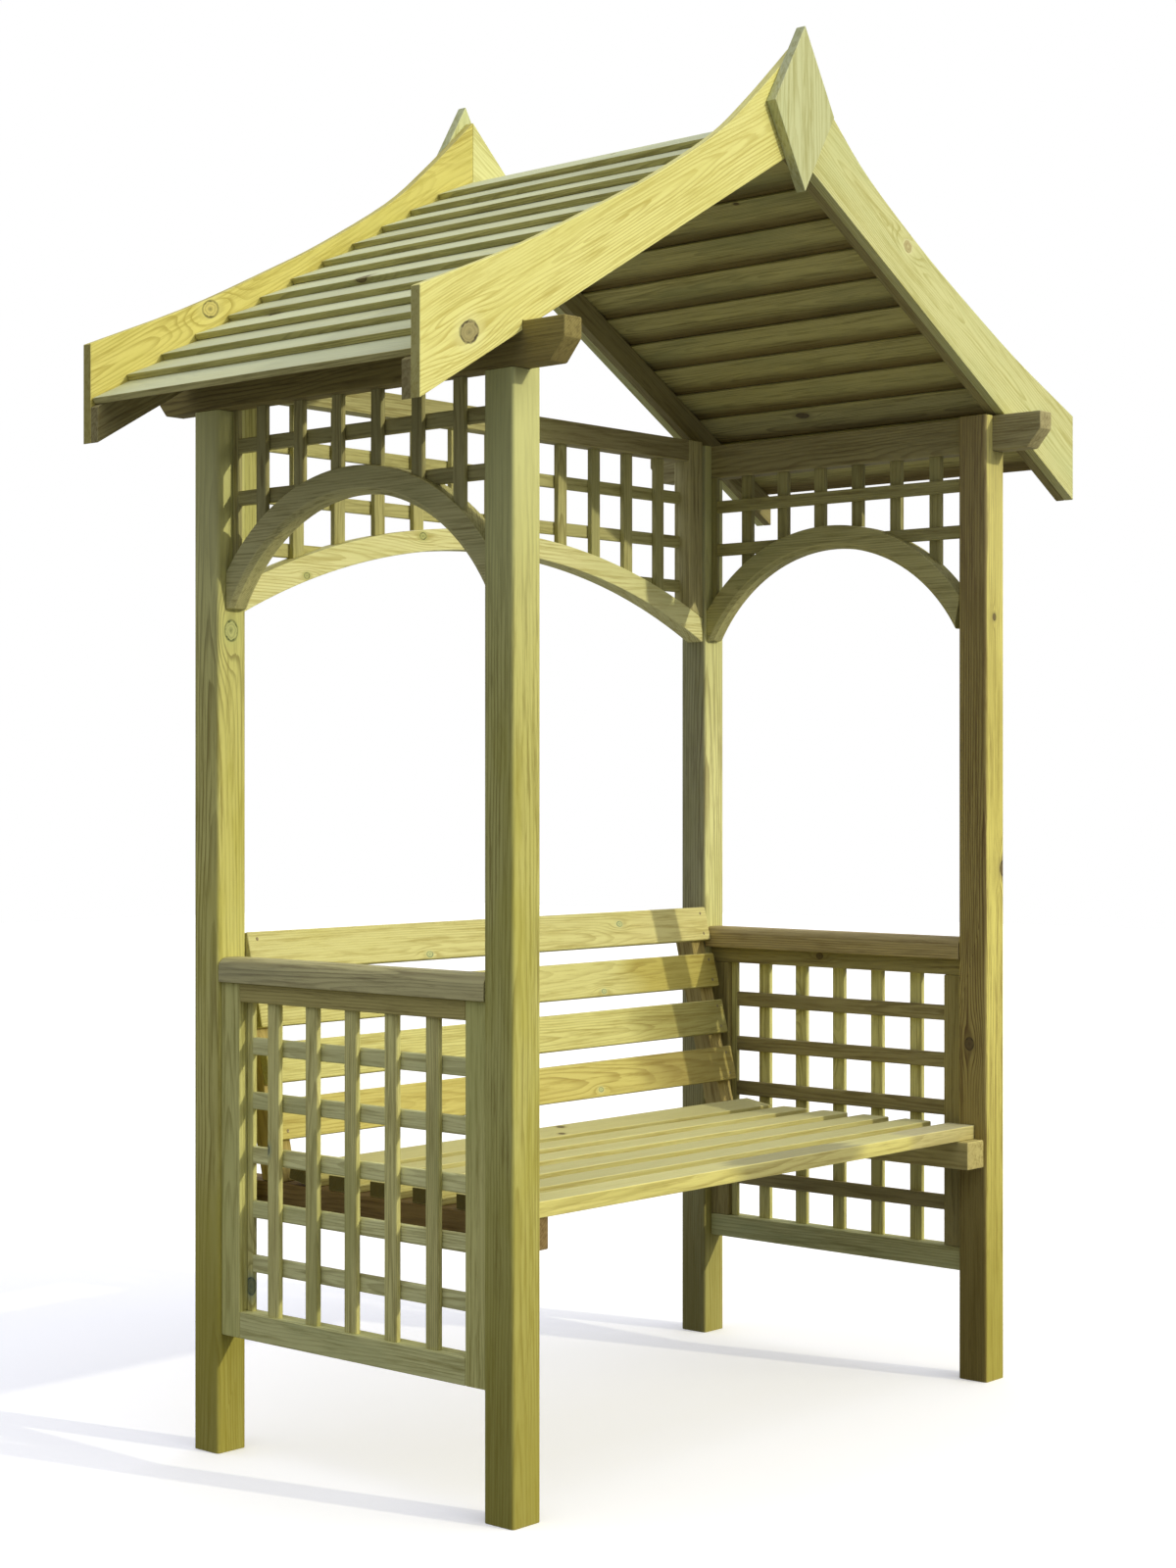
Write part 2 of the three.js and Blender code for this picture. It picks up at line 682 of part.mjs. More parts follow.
function backrest() {
  const group = new THREE.Group();
  group.position.set(0, seatFrontY + seatDepth + backrestFootGap, bearerTop);
  group.rotation.x = -backrestLean;
  const length = backSlatFirst + (backSlats - 1) * backSlatPitch + backSlatWidth;
  for (const [hand, side] of leftRight) {
    const x = side * (innerX - slatEndGap - supportWidth / 2);
    group.add(piece(`backrest_support_${hand}`, supportGeometry(length), roofTimber(), x));
  }
  for (let i = 0; i < backSlats; i++) {
    const slat = box(2 * (innerX - slatEndGap), backSlatThickness, backSlatWidth);
    const y = -jointGap - backSlatThickness / 2;
    const z = backSlatFirst + backSlatWidth / 2 + i * backSlatPitch;
    group.add(piece(`backrest_slat_${i + 1}`, slat, backrestTimber(), 0, y, z));
  }
  return group;
}

const arbourSeat = new THREE.Group();
arbourSeat.name = "arbour_seat";
arbourSeat.add(posts(), eavesBeams(), gables(), finials(), roofBoards());
arbourSeat.add(upperSides(), upperBack(), lowerSides(), seat(), backrest());

export default arbourSeat;
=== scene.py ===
import math
import random

import bmesh
import bpy
from mathutils import Euler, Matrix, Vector


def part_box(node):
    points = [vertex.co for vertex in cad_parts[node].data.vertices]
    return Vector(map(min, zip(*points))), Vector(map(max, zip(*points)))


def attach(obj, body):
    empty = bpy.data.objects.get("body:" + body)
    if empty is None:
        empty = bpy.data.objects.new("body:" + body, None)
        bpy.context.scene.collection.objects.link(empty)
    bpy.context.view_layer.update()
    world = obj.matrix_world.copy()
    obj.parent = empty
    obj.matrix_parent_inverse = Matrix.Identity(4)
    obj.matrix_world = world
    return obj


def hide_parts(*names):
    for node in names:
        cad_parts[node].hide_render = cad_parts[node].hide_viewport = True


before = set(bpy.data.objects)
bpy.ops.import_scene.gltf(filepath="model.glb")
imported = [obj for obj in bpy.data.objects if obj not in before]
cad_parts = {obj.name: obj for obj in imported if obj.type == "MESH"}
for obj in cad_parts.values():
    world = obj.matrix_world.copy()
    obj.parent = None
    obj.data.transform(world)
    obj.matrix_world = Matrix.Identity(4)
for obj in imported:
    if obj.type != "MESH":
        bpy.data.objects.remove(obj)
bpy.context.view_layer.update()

# Posts: four lengths of square pressure-treated softwood with machined arrises, the frame that all else is
# fixed to. The two front ones stand in the light, with the growth rings showing as long stripes down them.

MM = 0.001


def colour(red, green, blue):
    """A colour seen as 0 to 255 on a screen, as the linear values that a shader takes."""
    shares = [value / 255 for value in (red, green, blue)]
    return (*(s / 12.92 if s <= 0.04045 else ((s + 0.055) / 1.055) ** 2.4 for s in shares), 1)


def put(tree, kind, inputs, **settings):
    """Adds a shader node with its settings, and joins or sets the inputs that are named."""
    node = tree.nodes.new(kind)
    for name, value in settings.items():
        setattr(node, name, value)
    for name, value in inputs.items():
        socket = node.inputs[name]
        if isinstance(value, bpy.types.NodeSocket):
            tree.links.new(value, socket)
        else:
            socket.default_value = value
    return node


def calc(tree, operation, *values):
    return put(tree, "ShaderNodeMath", dict(enumerate(values)), operation=operation).outputs[0]


def squares(tree, one, other):
    return calc(tree, "ADD", calc(tree, "POWER", one, 2.0), calc(tree, "POWER", other, 2.0))


def ramp(tree, value, low, high, at_low=0.0, at_high=1.0):
    """Runs smoothly from one value to the other between low and high, and stays level outside them."""
    inputs = {"Value": value, "From Min": low, "From Max": high, "To Min": at_low, "To Max": at_high}
    return put(tree, "ShaderNodeMapRange", inputs, interpolation_type="SMOOTHSTEP").outputs[0]


def split(tree, vector):
    return put(tree, "ShaderNodeSeparateXYZ", {"Vector": vector}).outputs


def cloud(tree, place, along, across, detail, roughness=0.55):
    """Soft chance patches, drawn out along the grain."""
    length, *ways = place
    parts = [calc(tree, "MULTIPLY", length, along), *(calc(tree, "MULTIPLY", way, across) for way in ways)]
    vector = put(tree, "ShaderNodeCombineXYZ", dict(enumerate(parts))).outputs[0]
    inputs = {"Vector": vector, "Scale": 1.0, "Detail": detail, "Roughness": roughness}
    return put(tree, "ShaderNodeTexNoise", inputs).outputs[0]


MIX_SHARE, MIX_UNDER, MIX_OVER, MIX_COLOUR = 0, 6, 7, 2  # sockets of a Mix node that mixes colours


def blend(tree, share, under, over):
    """Lays one colour over another by a share from 0 to 1."""
    inputs = {MIX_SHARE: share, MIX_UNDER: under, MIX_OVER: over}
    return put(tree, "ShaderNodeMix", inputs, data_type="RGBA").outputs[MIX_COLOUR]


def tinted(tree, share, wood, tint):
    """Darkens a share of the wood by a tint."""
    inputs = {0: wood, 1: colour(*tint)[:3]}
    product = put(tree, "ShaderNodeVectorMath", inputs, operation="MULTIPLY").outputs[0]
    return blend(tree, share, wood, product)


KNOT_SHAPE = 0.8  # a knot is this much shorter across than along
EYE_SHAPE = 0.4  # the grain's eye round a knot is longer than the knot
EYE_REACH = 2.1  # knot radii
EYE_FADE = 3.0
SWIRL = 1.6


def knot_pull(tree, from_length, from_width, radius):
    """How many radii a point lies from a knot, and how far the knot bends the grain aside and outwards."""
    apart = squares(tree, calc(tree, "MULTIPLY", from_length, KNOT_SHAPE), from_width)
    reach = calc(tree, "DIVIDE", calc(tree, "SQRT", apart), radius)
    eye = squares(tree, calc(tree, "MULTIPLY", from_length, EYE_SHAPE), from_width)
    eye_reach = calc(tree, "DIVIDE", calc(tree, "SQRT", eye), calc(tree, "MULTIPLY", radius, EYE_REACH))
    fade = calc(tree, "ADD", calc(tree, "POWER", eye_reach, EYE_FADE), 1.0)
    swirl = calc(tree, "DIVIDE", calc(tree, "MULTIPLY", radius, SWIRL), fade)
    return reach, calc(tree, "DIVIDE", from_width, fade), swirl


# the wood's patterns: how many clouds there are to a metre along the grain and across it
DRIFT = (2.2, 9.0)
RAGGED = (7.0, 120.0)
CLEARNESS = (1.9, 22.0)
FIBRES = (7.0, 150.0)
KNOT_EDGE = (110.0, 110.0)
STAIN_ALONG = 2.6

# growth rings
TAPER = 0.045  # how fast the rings close in along the stick
SWELL = 0.05  # metres that they sway
RING_RAGGED = 0.5  # of a ring's width
LATE_WOOD = (0.45, 0.9)  # where in a year's ring the late wood starts and is darkest
RING_END = (1.0, 0.94)
CLEAR_BAND = (0.35, 0.68)
FAINTEST, CLEAREST, BY_A_KNOT = 0.3, 1.25, 1.2  # shares of the contrast
BY_KNOT_BAND = (7.0, 2.5)  # knot radii

# knots
KNOT_CELL_LONG = 0.42  # metres of stick and of width that hold one knot or none
KNOT_CELL_WIDE = 0.13
KNOT_SCATTER = 0.9
CHANCE_KNOT = (0.02, 11)  # radii in millimetres, from none to the largest
KNOT_ROUGH = 0.45
KNOT_YEARS = 2.8  # rings in a knot
KNOT_RINGS = (0.4, 0.95, 0.0, 0.4)
KNOT_PITH = (0.3, 0.1, 0.0, 0.7)
KNOT_FACE = (1.05, 0.85, 0.0, 0.8)
KNOT_RIM_INSIDE = (0.8, 0.95)
KNOT_RIM_OUTSIDE = (1.2, 1.05)
KNOT_RIM_GAPS = (0.35, 0.65, 0.45, 1.0)
ROUND_KNOT = (2.4, 1.0, 0.0, 0.5)
BROWN_KNOT = ((148, 132, 84), (92, 78, 44), (222, 216, 130))  # its wood, its rim and the grain round it
GREEN_KNOT = ((192, 194, 122), (84, 94, 50), (190, 192, 112))
FAINT_KNOT = ((194, 200, 136), (106, 132, 98), (214, 214, 148))
DARK_KNOT = ((100, 84, 50), (66, 54, 32), (140, 124, 70))
BLUE_KNOT = ((112, 120, 84), (74, 88, 76), (128, 146, 118))

# fibres, stains, weather, end grain, wear with a painted highlight, and painted shade on left faces and
# near laps: the shares or facings where each comes in
FIBRE_BAND = (0.45, 0.7, 0.0, 0.78)
STAIN_BAND = (0.45, 0.72)
FACING_UP = (0.35, 0.8)
TOP_PATCHES = (0.2, 0.6, 0.75, 1.0)
MARK_RAGGED = 1.5
MARK_EDGE = (1.2, 0.5)
FACING_LEFT = (-0.3, -0.8)
NEAR_LAP = (0.45, 0.95)
FACING_DOWN = (-0.62, -0.78)
END_GRAIN = (0.75, 0.95)
END_DARKNESS = 0.62
WEAR_AND_HIGHLIGHT_PATCHES = (0.35, 0.65, 0.1, 0.5)
WEAR_AND_HIGHLIGHT_GAIN, WEAR_AND_HIGHLIGHT_LIFT = 1.08, 6
BOARD_STEPS = 7.0
BOARD_SHADES = (0.92, 1.05)  # darkest and lightest stick of one timber
GLOSS_BAND = (0.3, 0.7)
GLOSS_RANGE = (-0.08, 0.1)
SHEEN = 0.35
FIBRE_RELIEF, RING_RELIEF, KNOT_RELIEF = 0.8, 0.5, 0.6
RELIEF_STRENGTH = 0.5
RELIEF_DEPTH = 0.8


def timber(
    name, tone, figure, stain, turn, knots=(), knot=BROWN_KNOT, ring=5.0, contrast=0.55, wander=1.0,
    staining=0.5, patch=9.0, knotty=0.3, top=None, top_share=0.8, levels=(), marks=(), left_face_shade=None,
    lap_damp_and_shade=None, end_share=0.35, rough=0.78,
):
    """Treated softwood. Tone is its pale early wood, figure its darker late wood, stain the patches that the
    treatment leaves, and top the greying on faces turned up, which on the seat is also painted light from
    above. Knots are (x, y, z, radius) in millimetres.
    Levels are colours that come in with height: each a colour, a share and the heights of none and of all.
    Marks are darker places, each an x, y, z, half length, half width and tint; on the back rail they are
    painted shade, and on the backrest slats partly so. The left face tint is painted shade on the faces on
    the left of a stick, in part a darker heartwood face, and the lap tint darkens the underside of a roof
    board near its lap, partly damp and partly painted shade."""
    material = bpy.data.materials.new(name)
    material.use_nodes = True
    tree = material.node_tree
    shader = tree.nodes["Principled BSDF"]
    place = put(tree, "ShaderNodeTexCoord", {})
    turned = put(tree, "ShaderNodeMapping", {"Vector": place.outputs["Object"], "Rotation": turn}).outputs[0]
    board = put(tree, "ShaderNodeAttribute", {}, attribute_name="board").outputs["Vector"]
    heart = put(tree, "ShaderNodeAttribute", {}, attribute_name="heart").outputs["Vector"]
    moved = put(tree, "ShaderNodeVectorMath", {0: turned, 1: board}, operation="ADD").outputs[0]
    length, cross, through = split(tree, turned)
    width = calc(tree, "ADD", cross, through)
    far = split(tree, moved)
    far_length, far_cross, far_through = far
    far_width = calc(tree, "ADD", far_cross, far_through)

    # knots, by chance all over and one by one at the places given
    cell = [calc(tree, "DIVIDE", far_length, KNOT_CELL_LONG), calc(tree, "DIVIDE", far_width, KNOT_CELL_WIDE)]
    cell = put(tree, "ShaderNodeCombineXYZ", dict(enumerate(cell))).outputs[0]
    inputs = {"Vector": cell, "Scale": 1.0, "Randomness": KNOT_SCATTER}
    scatter = put(tree, "ShaderNodeTexVoronoi", inputs, voronoi_dimensions="2D")
    chance = split(tree, scatter.outputs["Color"])[0]
    radius = ramp(tree, chance, 1.0 - knotty, 1.0, *(size * MM for size in CHANCE_KNOT))
    centre = split(tree, scatter.outputs["Position"])
    from_length = calc(tree, "SUBTRACT", far_length, calc(tree, "MULTIPLY", centre[0], KNOT_CELL_LONG))
    from_width = calc(tree, "SUBTRACT", far_width, calc(tree, "MULTIPLY", centre[1], KNOT_CELL_WIDE))
    reach, pull, swirl = knot_pull(tree, from_length, from_width, radius)
    for *middle, size in knots:
        at = Euler(turn).to_matrix() @ (Vector(middle) * MM)
        from_length = calc(tree, "SUBTRACT", length, at.x)
        from_width = calc(tree, "SUBTRACT", width, at.y + at.z)
        own_reach, own_pull, own_swirl = knot_pull(tree, from_length, from_width, size * MM)
        reach = calc(tree, "MINIMUM", reach, own_reach)
        pull = calc(tree, "ADD", pull, own_pull)
        swirl = calc(tree, "ADD", swirl, own_swirl)
    uneven = cloud(tree, far, *KNOT_EDGE, detail=2.0)
    rough_edge = calc(tree, "MULTIPLY", calc(tree, "SUBTRACT", uneven, 0.5), KNOT_ROUGH)
    reach = calc(tree, "ADD", reach, rough_edge)

    # growth rings, as the cone of the trunk meets the sawn face
    heart_length, heart_width, heart_depth = split(tree, heart)
    drift = cloud(tree, far, *DRIFT, detail=2.0)
    climb = calc(tree, "MULTIPLY", calc(tree, "SUBTRACT", length, heart_length), TAPER * wander)
    swell = calc(tree, "MULTIPLY", calc(tree, "SUBTRACT", drift, 0.5), SWELL * wander)
    depth = calc(tree, "ADD", calc(tree, "ADD", heart_depth, climb), calc(tree, "ADD", swell, swirl))
    aside = calc(tree, "SUBTRACT", calc(tree, "SUBTRACT", width, pull), heart_width)
    age = calc(tree, "DIVIDE", calc(tree, "SQRT", squares(tree, aside, depth)), ring * MM)
    ragged = cloud(tree, far, *RAGGED, detail=2.0)
    season = calc(tree, "FRACT", calc(tree, "ADD", age, calc(tree, "MULTIPLY", ragged, RING_RAGGED)))
    late = calc(tree, "MULTIPLY", ramp(tree, season, *LATE_WOOD), ramp(tree, season, *RING_END))
    strength = cloud(tree, far, *CLEARNESS, detail=3.0)
    strength = ramp(tree, strength, *CLEAR_BAND, contrast * FAINTEST, min(contrast * CLEAREST, 1.0))
    by_knot = ramp(tree, reach, *BY_KNOT_BAND, 0.0, contrast * BY_A_KNOT)
    shown = calc(tree, "MULTIPLY", late, calc(tree, "MAXIMUM", strength, by_knot))

    # colour: early and late wood, fibres, the treatment's patches, and what comes in with height
    wood = blend(tree, shown, colour(*tone), colour(*figure))
    fibre = cloud(tree, far, *FIBRES, detail=4.0, roughness=0.72)
    wood = blend(tree, ramp(tree, fibre, *FIBRE_BAND), wood, colour(*figure))
    blotch = cloud(tree, far, STAIN_ALONG, patch, detail=4.0, roughness=0.6)
    wood = blend(tree, ramp(tree, blotch, *STAIN_BAND, 0.0, staining), wood, colour(*stain))
    height = split(tree, place.outputs["Object"])[2]
    for tint, share, none, full in levels:
        wood = blend(tree, ramp(tree, height, none * MM, full * MM, 0.0, share), wood, colour(*tint))

    # weathered tops, on the seat partly painted light from above; single marks; painted shade on left faces;
    # and damp with painted shade near a lap
    leftward, _, facing = split(tree, place.outputs["Normal"])
    # greyed tops; on the seat this paler top is also painted light from above
    if top:
        upward = calc(tree, "MULTIPLY", ramp(tree, facing, *FACING_UP), ramp(tree, blotch, *TOP_PATCHES))
        wood = blend(tree, calc(tree, "MULTIPLY", upward, top_share), wood, colour(*top))
    for x, y, z, half_long, half_wide, tint in marks:
        at = Euler(turn).to_matrix() @ (Vector((x, y, z)) * MM)
        off_long = calc(tree, "DIVIDE", calc(tree, "SUBTRACT", length, at.x), half_long * MM)
        off_wide = calc(tree, "DIVIDE", calc(tree, "SUBTRACT", width, at.y + at.z), half_wide * MM)
        edge = calc(tree, "MULTIPLY", calc(tree, "SUBTRACT", blotch, 0.5), MARK_RAGGED)
        off = calc(tree, "ADD", squares(tree, off_long, off_wide), edge)
        wood = tinted(tree, ramp(tree, off, *MARK_EDGE), wood, tint)
    # painted shade: faces turned to the left are darkened, in part a darker heartwood face
    if left_face_shade:
        wood = tinted(tree, ramp(tree, leftward, *FACING_LEFT), wood, left_face_shade)
    # painted shade with damp: the underside of a roof board is darkened near its lap
    if lap_damp_and_shade:
        lapped = put(tree, "ShaderNodeAttribute", {}, attribute_name="lap").outputs["Fac"]
        under = calc(tree, "MULTIPLY", ramp(tree, lapped, *NEAR_LAP), ramp(tree, facing, *FACING_DOWN))
        wood = tinted(tree, under, wood, lap_damp_and_shade)

    # knots, end grain, worn arrises lightened partly as a painted highlight, and each stick a little darker
    # or lighter than the next
    knot_wood, knot_rim, round_knot = (colour(*tint) for tint in knot)
    wood = blend(tree, ramp(tree, reach, *ROUND_KNOT), wood, round_knot)
    knot_rings = calc(tree, "FRACT", calc(tree, "MULTIPLY", reach, KNOT_YEARS))
    ringed = blend(tree, ramp(tree, knot_rings, *KNOT_RINGS), knot_wood, knot_rim)
    ringed = blend(tree, ramp(tree, reach, *KNOT_PITH), ringed, knot_rim)
    wood = blend(tree, ramp(tree, reach, *KNOT_FACE), wood, ringed)
    rim = calc(tree, "MULTIPLY", ramp(tree, reach, *KNOT_RIM_INSIDE), ramp(tree, reach, *KNOT_RIM_OUTSIDE))
    wood = blend(tree, calc(tree, "MULTIPLY", rim, ramp(tree, uneven, *KNOT_RIM_GAPS)), wood, knot_rim)
    inputs = {"Vector": place.outputs["Normal"], "Rotation": turn}
    lengthways = split(tree, put(tree, "ShaderNodeMapping", inputs, vector_type="VECTOR").outputs[0])[0]
    end = ramp(tree, calc(tree, "ABSOLUTE", lengthways), *END_GRAIN, 0.0, end_share)
    wood = blend(tree, end, wood, colour(*(share * END_DARKNESS for share in figure)))
    # wear and a painted highlight: the rounded arrises are lightened in patches
    arris = put(tree, "ShaderNodeAttribute", {}, attribute_name="arris").outputs["Fac"]
    wear_and_highlight = calc(tree, "MULTIPLY", arris, ramp(tree, blotch, *WEAR_AND_HIGHLIGHT_PATCHES))
    wood = blend(tree, wear_and_highlight, wood, colour(*(min(share * WEAR_AND_HIGHLIGHT_GAIN + WEAR_AND_HIGHLIGHT_LIFT, 255) for share in tone)))
    own_shade = calc(tree, "FRACT", calc(tree, "MULTIPLY", split(tree, board)[2], BOARD_STEPS))
    shade = ramp(tree, own_shade, 0.0, 1.0, *BOARD_SHADES)
    wood = put(tree, "ShaderNodeVectorMath", {0: wood, "Scale": shade}, operation="SCALE").outputs[0]

    tree.links.new(wood, shader.inputs["Base Color"])
    dullness = ramp(tree, fibre, *GLOSS_BAND, *(rough + change for change in GLOSS_RANGE))
    tree.links.new(dullness, shader.inputs["Roughness"])
    shader.inputs["Specular IOR Level"].default_value = SHEEN
    relief = calc(tree, "MULTIPLY", fibre, FIBRE_RELIEF)
    relief = calc(tree, "ADD", relief, calc(tree, "MULTIPLY", late, RING_RELIEF))
    relief = calc(tree, "SUBTRACT", relief, calc(tree, "MULTIPLY", rim, KNOT_RELIEF))
    inputs = {"Strength": RELIEF_STRENGTH, "Distance": RELIEF_DEPTH * MM, "Height": relief}
    tree.links.new(put(tree, "ShaderNodeBump", inputs).outputs[0], shader.inputs["Normal"])
    return material


FLAT = math.radians(0.5)
ONE_CORNER = 0.01  # millimetres within which two corners are one


def cut_to_shape(node):
    """The carpenter's cut shape of a CAD node, as whole flat faces."""
    shape = bmesh.new()
    shape.from_mesh(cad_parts[node].data)
    bmesh.ops.remove_doubles(shape, verts=shape.verts, dist=ONE_CORNER * MM)
    bmesh.ops.dissolve_limit(shape, angle_limit=FLAT, verts=shape.verts, edges=shape.edges)
    return shape


def round_over(shape, edges, size, segments):
    return bmesh.ops.bevel(
        shape, geom=edges, offset=size * MM, offset_type="OFFSET", segments=segments, profile=0.5,
        affect="EDGES", clamp_overlap=True, material=-1,
    )


SAWN_EDGE = math.radians(40)  # a corner sharper than this has its arris taken off


def ease_arrises(shape, size, segments=2, shortest=0):
    """Takes the sharp arrises off and marks them for wear and a painted highlight. Those under the shortest
    stay square.
    """
    wear_and_highlight = shape.verts.layers.float.new("arris")
    sharp = [edge for edge in shape.edges if edge.is_manifold and edge.calc_face_angle() > SAWN_EDGE]
    made = round_over(shape, [edge for edge in sharp if edge.calc_length() > shortest * MM], size, segments)
    rounded = set(made["faces"])
    for vert in made["verts"]:
        if all(face in rounded for face in vert.link_faces):
            vert[wear_and_highlight] = 1.0


def sticks(shape):
    """The vertices of each separate stick in a shape."""
    left = set(shape.verts)
    while left:
        stick, front = set(), [left.pop()]
        while front:
            vert = front.pop()
            stick.add(vert)
            near = {edge.other_vert(vert) for edge in vert.link_edges} & left
            left -= near
            front.extend(near)
        yield stick


SORTING_PLACES = 5  # decimals


def first_corner(stick):
    return min(tuple(round(part, SORTING_PLACES) for part in vert.co) for vert in stick)


# where each stick was cut from its trunk
PATTERN_START = (1, 9)
HEART_ASIDE = 25  # millimetres, to either side of a stick's middle
HEART_DEPTH = (5, 45)


def grow(shape, name, turn):
    """Gives each stick its own piece of trunk: where its pattern starts, and where the heart lay."""
    board = shape.verts.layers.float_vector.new("board")
    heart = shape.verts.layers.float_vector.new("heart")
    chance = random.Random(name)
    lay = Euler(turn).to_matrix()
    for stick in sorted(sticks(shape), key=first_corner):
        laid = [lay @ vert.co for vert in stick]
        longs = [spot.x for spot in laid]
        wides = [spot.y + spot.z for spot in laid]
        start = Vector(chance.uniform(*PATTERN_START) for _ in range(3))
        along = chance.uniform(min(longs), max(longs))
        aside = (min(wides) + max(wides)) / 2 + chance.uniform(-HEART_ASIDE, HEART_ASIDE) * MM
        deep = chance.uniform(*HEART_DEPTH) * MM
        for vert in stick:
            vert[board] = start
            vert[heart] = (along, aside, deep)


def settle(shape):
    """Puts the faces in one fixed order, since Blender's own tools can leave them in another one each run."""
    shape.verts.index_update()
    in_order = sorted(shape.faces, key=lambda face: sorted(vert.index for vert in face.verts))
    for place, face in enumerate(in_order):
        face.index = place
    shape.faces.sort()


def fit(name, shape, material, turn, slot, *nodes):
    """Makes a piece of a finished shape, and fits it to the seat for the nodes that it stands for."""
    grow(shape, name, turn)
    settle(shape)
    mesh = bpy.data.meshes.new(name)
    shape.to_mesh(mesh)
    shape.free()
    mesh.shade_smooth()
    mesh.materials.append(material)
    piece = bpy.data.objects.new(name, mesh)
    bpy.context.scene.collection.objects.link(piece)
    piece.modifiers.new("flat faces", "WEIGHTED_NORMAL").keep_sharp = True
    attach(piece, "root")
    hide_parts(*nodes)


def plane_off(node, size, material, turn, slot, segments=2):
    """A piece that is its CAD node with the arrises eased."""
    shape = cut_to_shape(node)
    ease_arrises(shape, size, segments)
    fit(f"{node}_timber", shape, material, turn, slot, node)


GRAIN_UP = (0, math.pi / 2, 0)  # turns that lay a stick's length along the grain's own X
GRAIN_BACK = (0, 0, -math.pi / 2)
GRAIN_ACROSS = (0, 0, 0)
POST_ARRIS = 1.2
POST_KNOTS = [(-627, 297, 1332, 13), (622, -357, 1387, 5), (652, -357, 930, 11), (595, -321, 611, 9)]
YELLOW_FOOT = ((154, 142, 44), 0.7, 750, 60)
PALE_TOP = ((220, 220, 146), 0.75, 1100, 1700)
FAINT_TOP = ((200, 192, 128), 0.35, 1100, 1700)
SUNNY_POST = ((203, 197, 110), (138, 126, 56), (182, 174, 72))
POST_STOCK = {  # tones, knots, the painted shade on the left faces, and the weathering at the top
    "front_left": (SUNNY_POST, GREEN_KNOT, (242, 245, 248), PALE_TOP),
    "front_right": (((228, 217, 114), (136, 114, 56), (184, 170, 80)), DARK_KNOT, (200, 190, 208), FAINT_TOP),
    "back_left": (SUNNY_POST, GREEN_KNOT, (250, 250, 255), PALE_TOP),
    "back_right": (((230, 227, 152), (158, 146, 90), (193, 189, 112)), BROWN_KNOT, (204, 204, 222), PALE_TOP),
}
for corner, (tones, knot, tint, top_level) in POST_STOCK.items():
    post_timber = timber(
        f"post timber {corner}", *tones, GRAIN_UP, knots=POST_KNOTS, knot=knot, contrast=0.85, wander=0.35,
        staining=0.65, knotty=0.1, levels=[top_level, YELLOW_FOOT], left_face_shade=tint,
    )
    plane_off(f"post_{corner}", POST_ARRIS, post_timber, GRAIN_UP, "post_timber")

# Eaves beams: one along each side, let into the outer half of the posts' tops, with the lower corner of
# each end sawn away. They are a browner, rougher timber, and most of each is in the roof's shade.

BEAM_ARRIS = 2.5
BEAM_TONES = {
    "left": ((146, 133, 72), (102, 88, 44), (122, 106, 58)),
    "right": ((182, 172, 118), (128, 114, 70), (154, 142, 96)),
}
for hand, tones in BEAM_TONES.items():
    beam_timber = timber(f"beam timber {hand}", *tones, GRAIN_BACK, contrast=0.5, end_share=0.0, rough=0.84)
    plane_off(f"eaves_beam_{hand}", BEAM_ARRIS, beam_timber, GRAIN_BACK, "roof_timber")

# Rafters: a thin board behind each bargeboard, birdsmouthed over the eaves beams. The roof boards are
# nailed to them, and from below they show as dark edges along the gables.

PITCH = math.radians(30)
GRAIN_SLOPE = {"left": (0, PITCH, 0), "right": (0, -PITCH, 0)}
RAFTER_ARRIS = 1.0
RAFTER_TONES = ((162, 152, 96), (118, 104, 56), (136, 122, 70))
for hand in ("left", "right"):
    rafter_timber = timber(
        f"rafter timber {hand}", *RAFTER_TONES, GRAIN_SLOPE[hand], contrast=0.5, rough=0.84,
    )
    for end in ("front", "back"):
        plane_off(f"rafter_{end}_{hand}", RAFTER_ARRIS, rafter_timber, GRAIN_SLOPE[hand], "roof_timber")

# Bargeboards: wide boards with a swept top edge, screwed over the rafters at both gables. They are the
# palest and yellowest timber on the seat, with a fine figure and a few large round knots.

BARGE_ARRIS = 1.2
BARGE_STOCK = {  # tones, knots, and the knots' colours
    "front_left": (
        ((234, 228, 139), (194, 178, 84), (220, 212, 116)), [(-766, -376, 1722, 15)],
        ((150, 136, 88), (78, 68, 40), (236, 232, 156)),
    ),
    "front_right": (
        ((220, 218, 148), (184, 178, 98), (196, 204, 136)), [(320, -376, 2011, 11)],
        ((172, 152, 96), (222, 218, 156), (232, 230, 160)),
    ),
    "back_left": (
        ((215, 204, 110), (174, 158, 68), (198, 190, 92)), [(-620, 357, 1863, 13)],
        ((206, 192, 108), (82, 76, 36), (226, 218, 130)),
    ),
    "back_right": (((220, 218, 148), (184, 178, 98), (196, 204, 136)), [], BROWN_KNOT),
}
for corner, (tones, knots, knot) in BARGE_STOCK.items():
    turn = GRAIN_SLOPE[corner.split("_")[1]]
    barge_timber = timber(
        f"bargeboard timber {corner}", *tones, turn, knots=knots, knot=knot, ring=4.5, contrast=0.7,
        wander=0.8, knotty=0.0, end_share=0.85, rough=0.7,
    )
    plane_off(f"bargeboard_{corner}", BARGE_ARRIS, barge_timber, turn, "barge_timber")

# Finials: a diamond of thin board over the joint where each pair of bargeboards meets at the ridge. The
# grain runs up it, and the face is greener and greyer than the bargeboards.

FINIAL_ARRIS = 1.5
finial_timber = timber(
    "finial timber", (210, 212, 153), (172, 168, 98), (194, 203, 139), GRAIN_UP, ring=6, contrast=0.4,
    staining=0.6, knotty=0.0, rough=0.74,
)
for end in ("front", "back"):
    plane_off(f"finial_{end}", FINIAL_ARRIS, finial_timber, GRAIN_UP, "finial_timber")
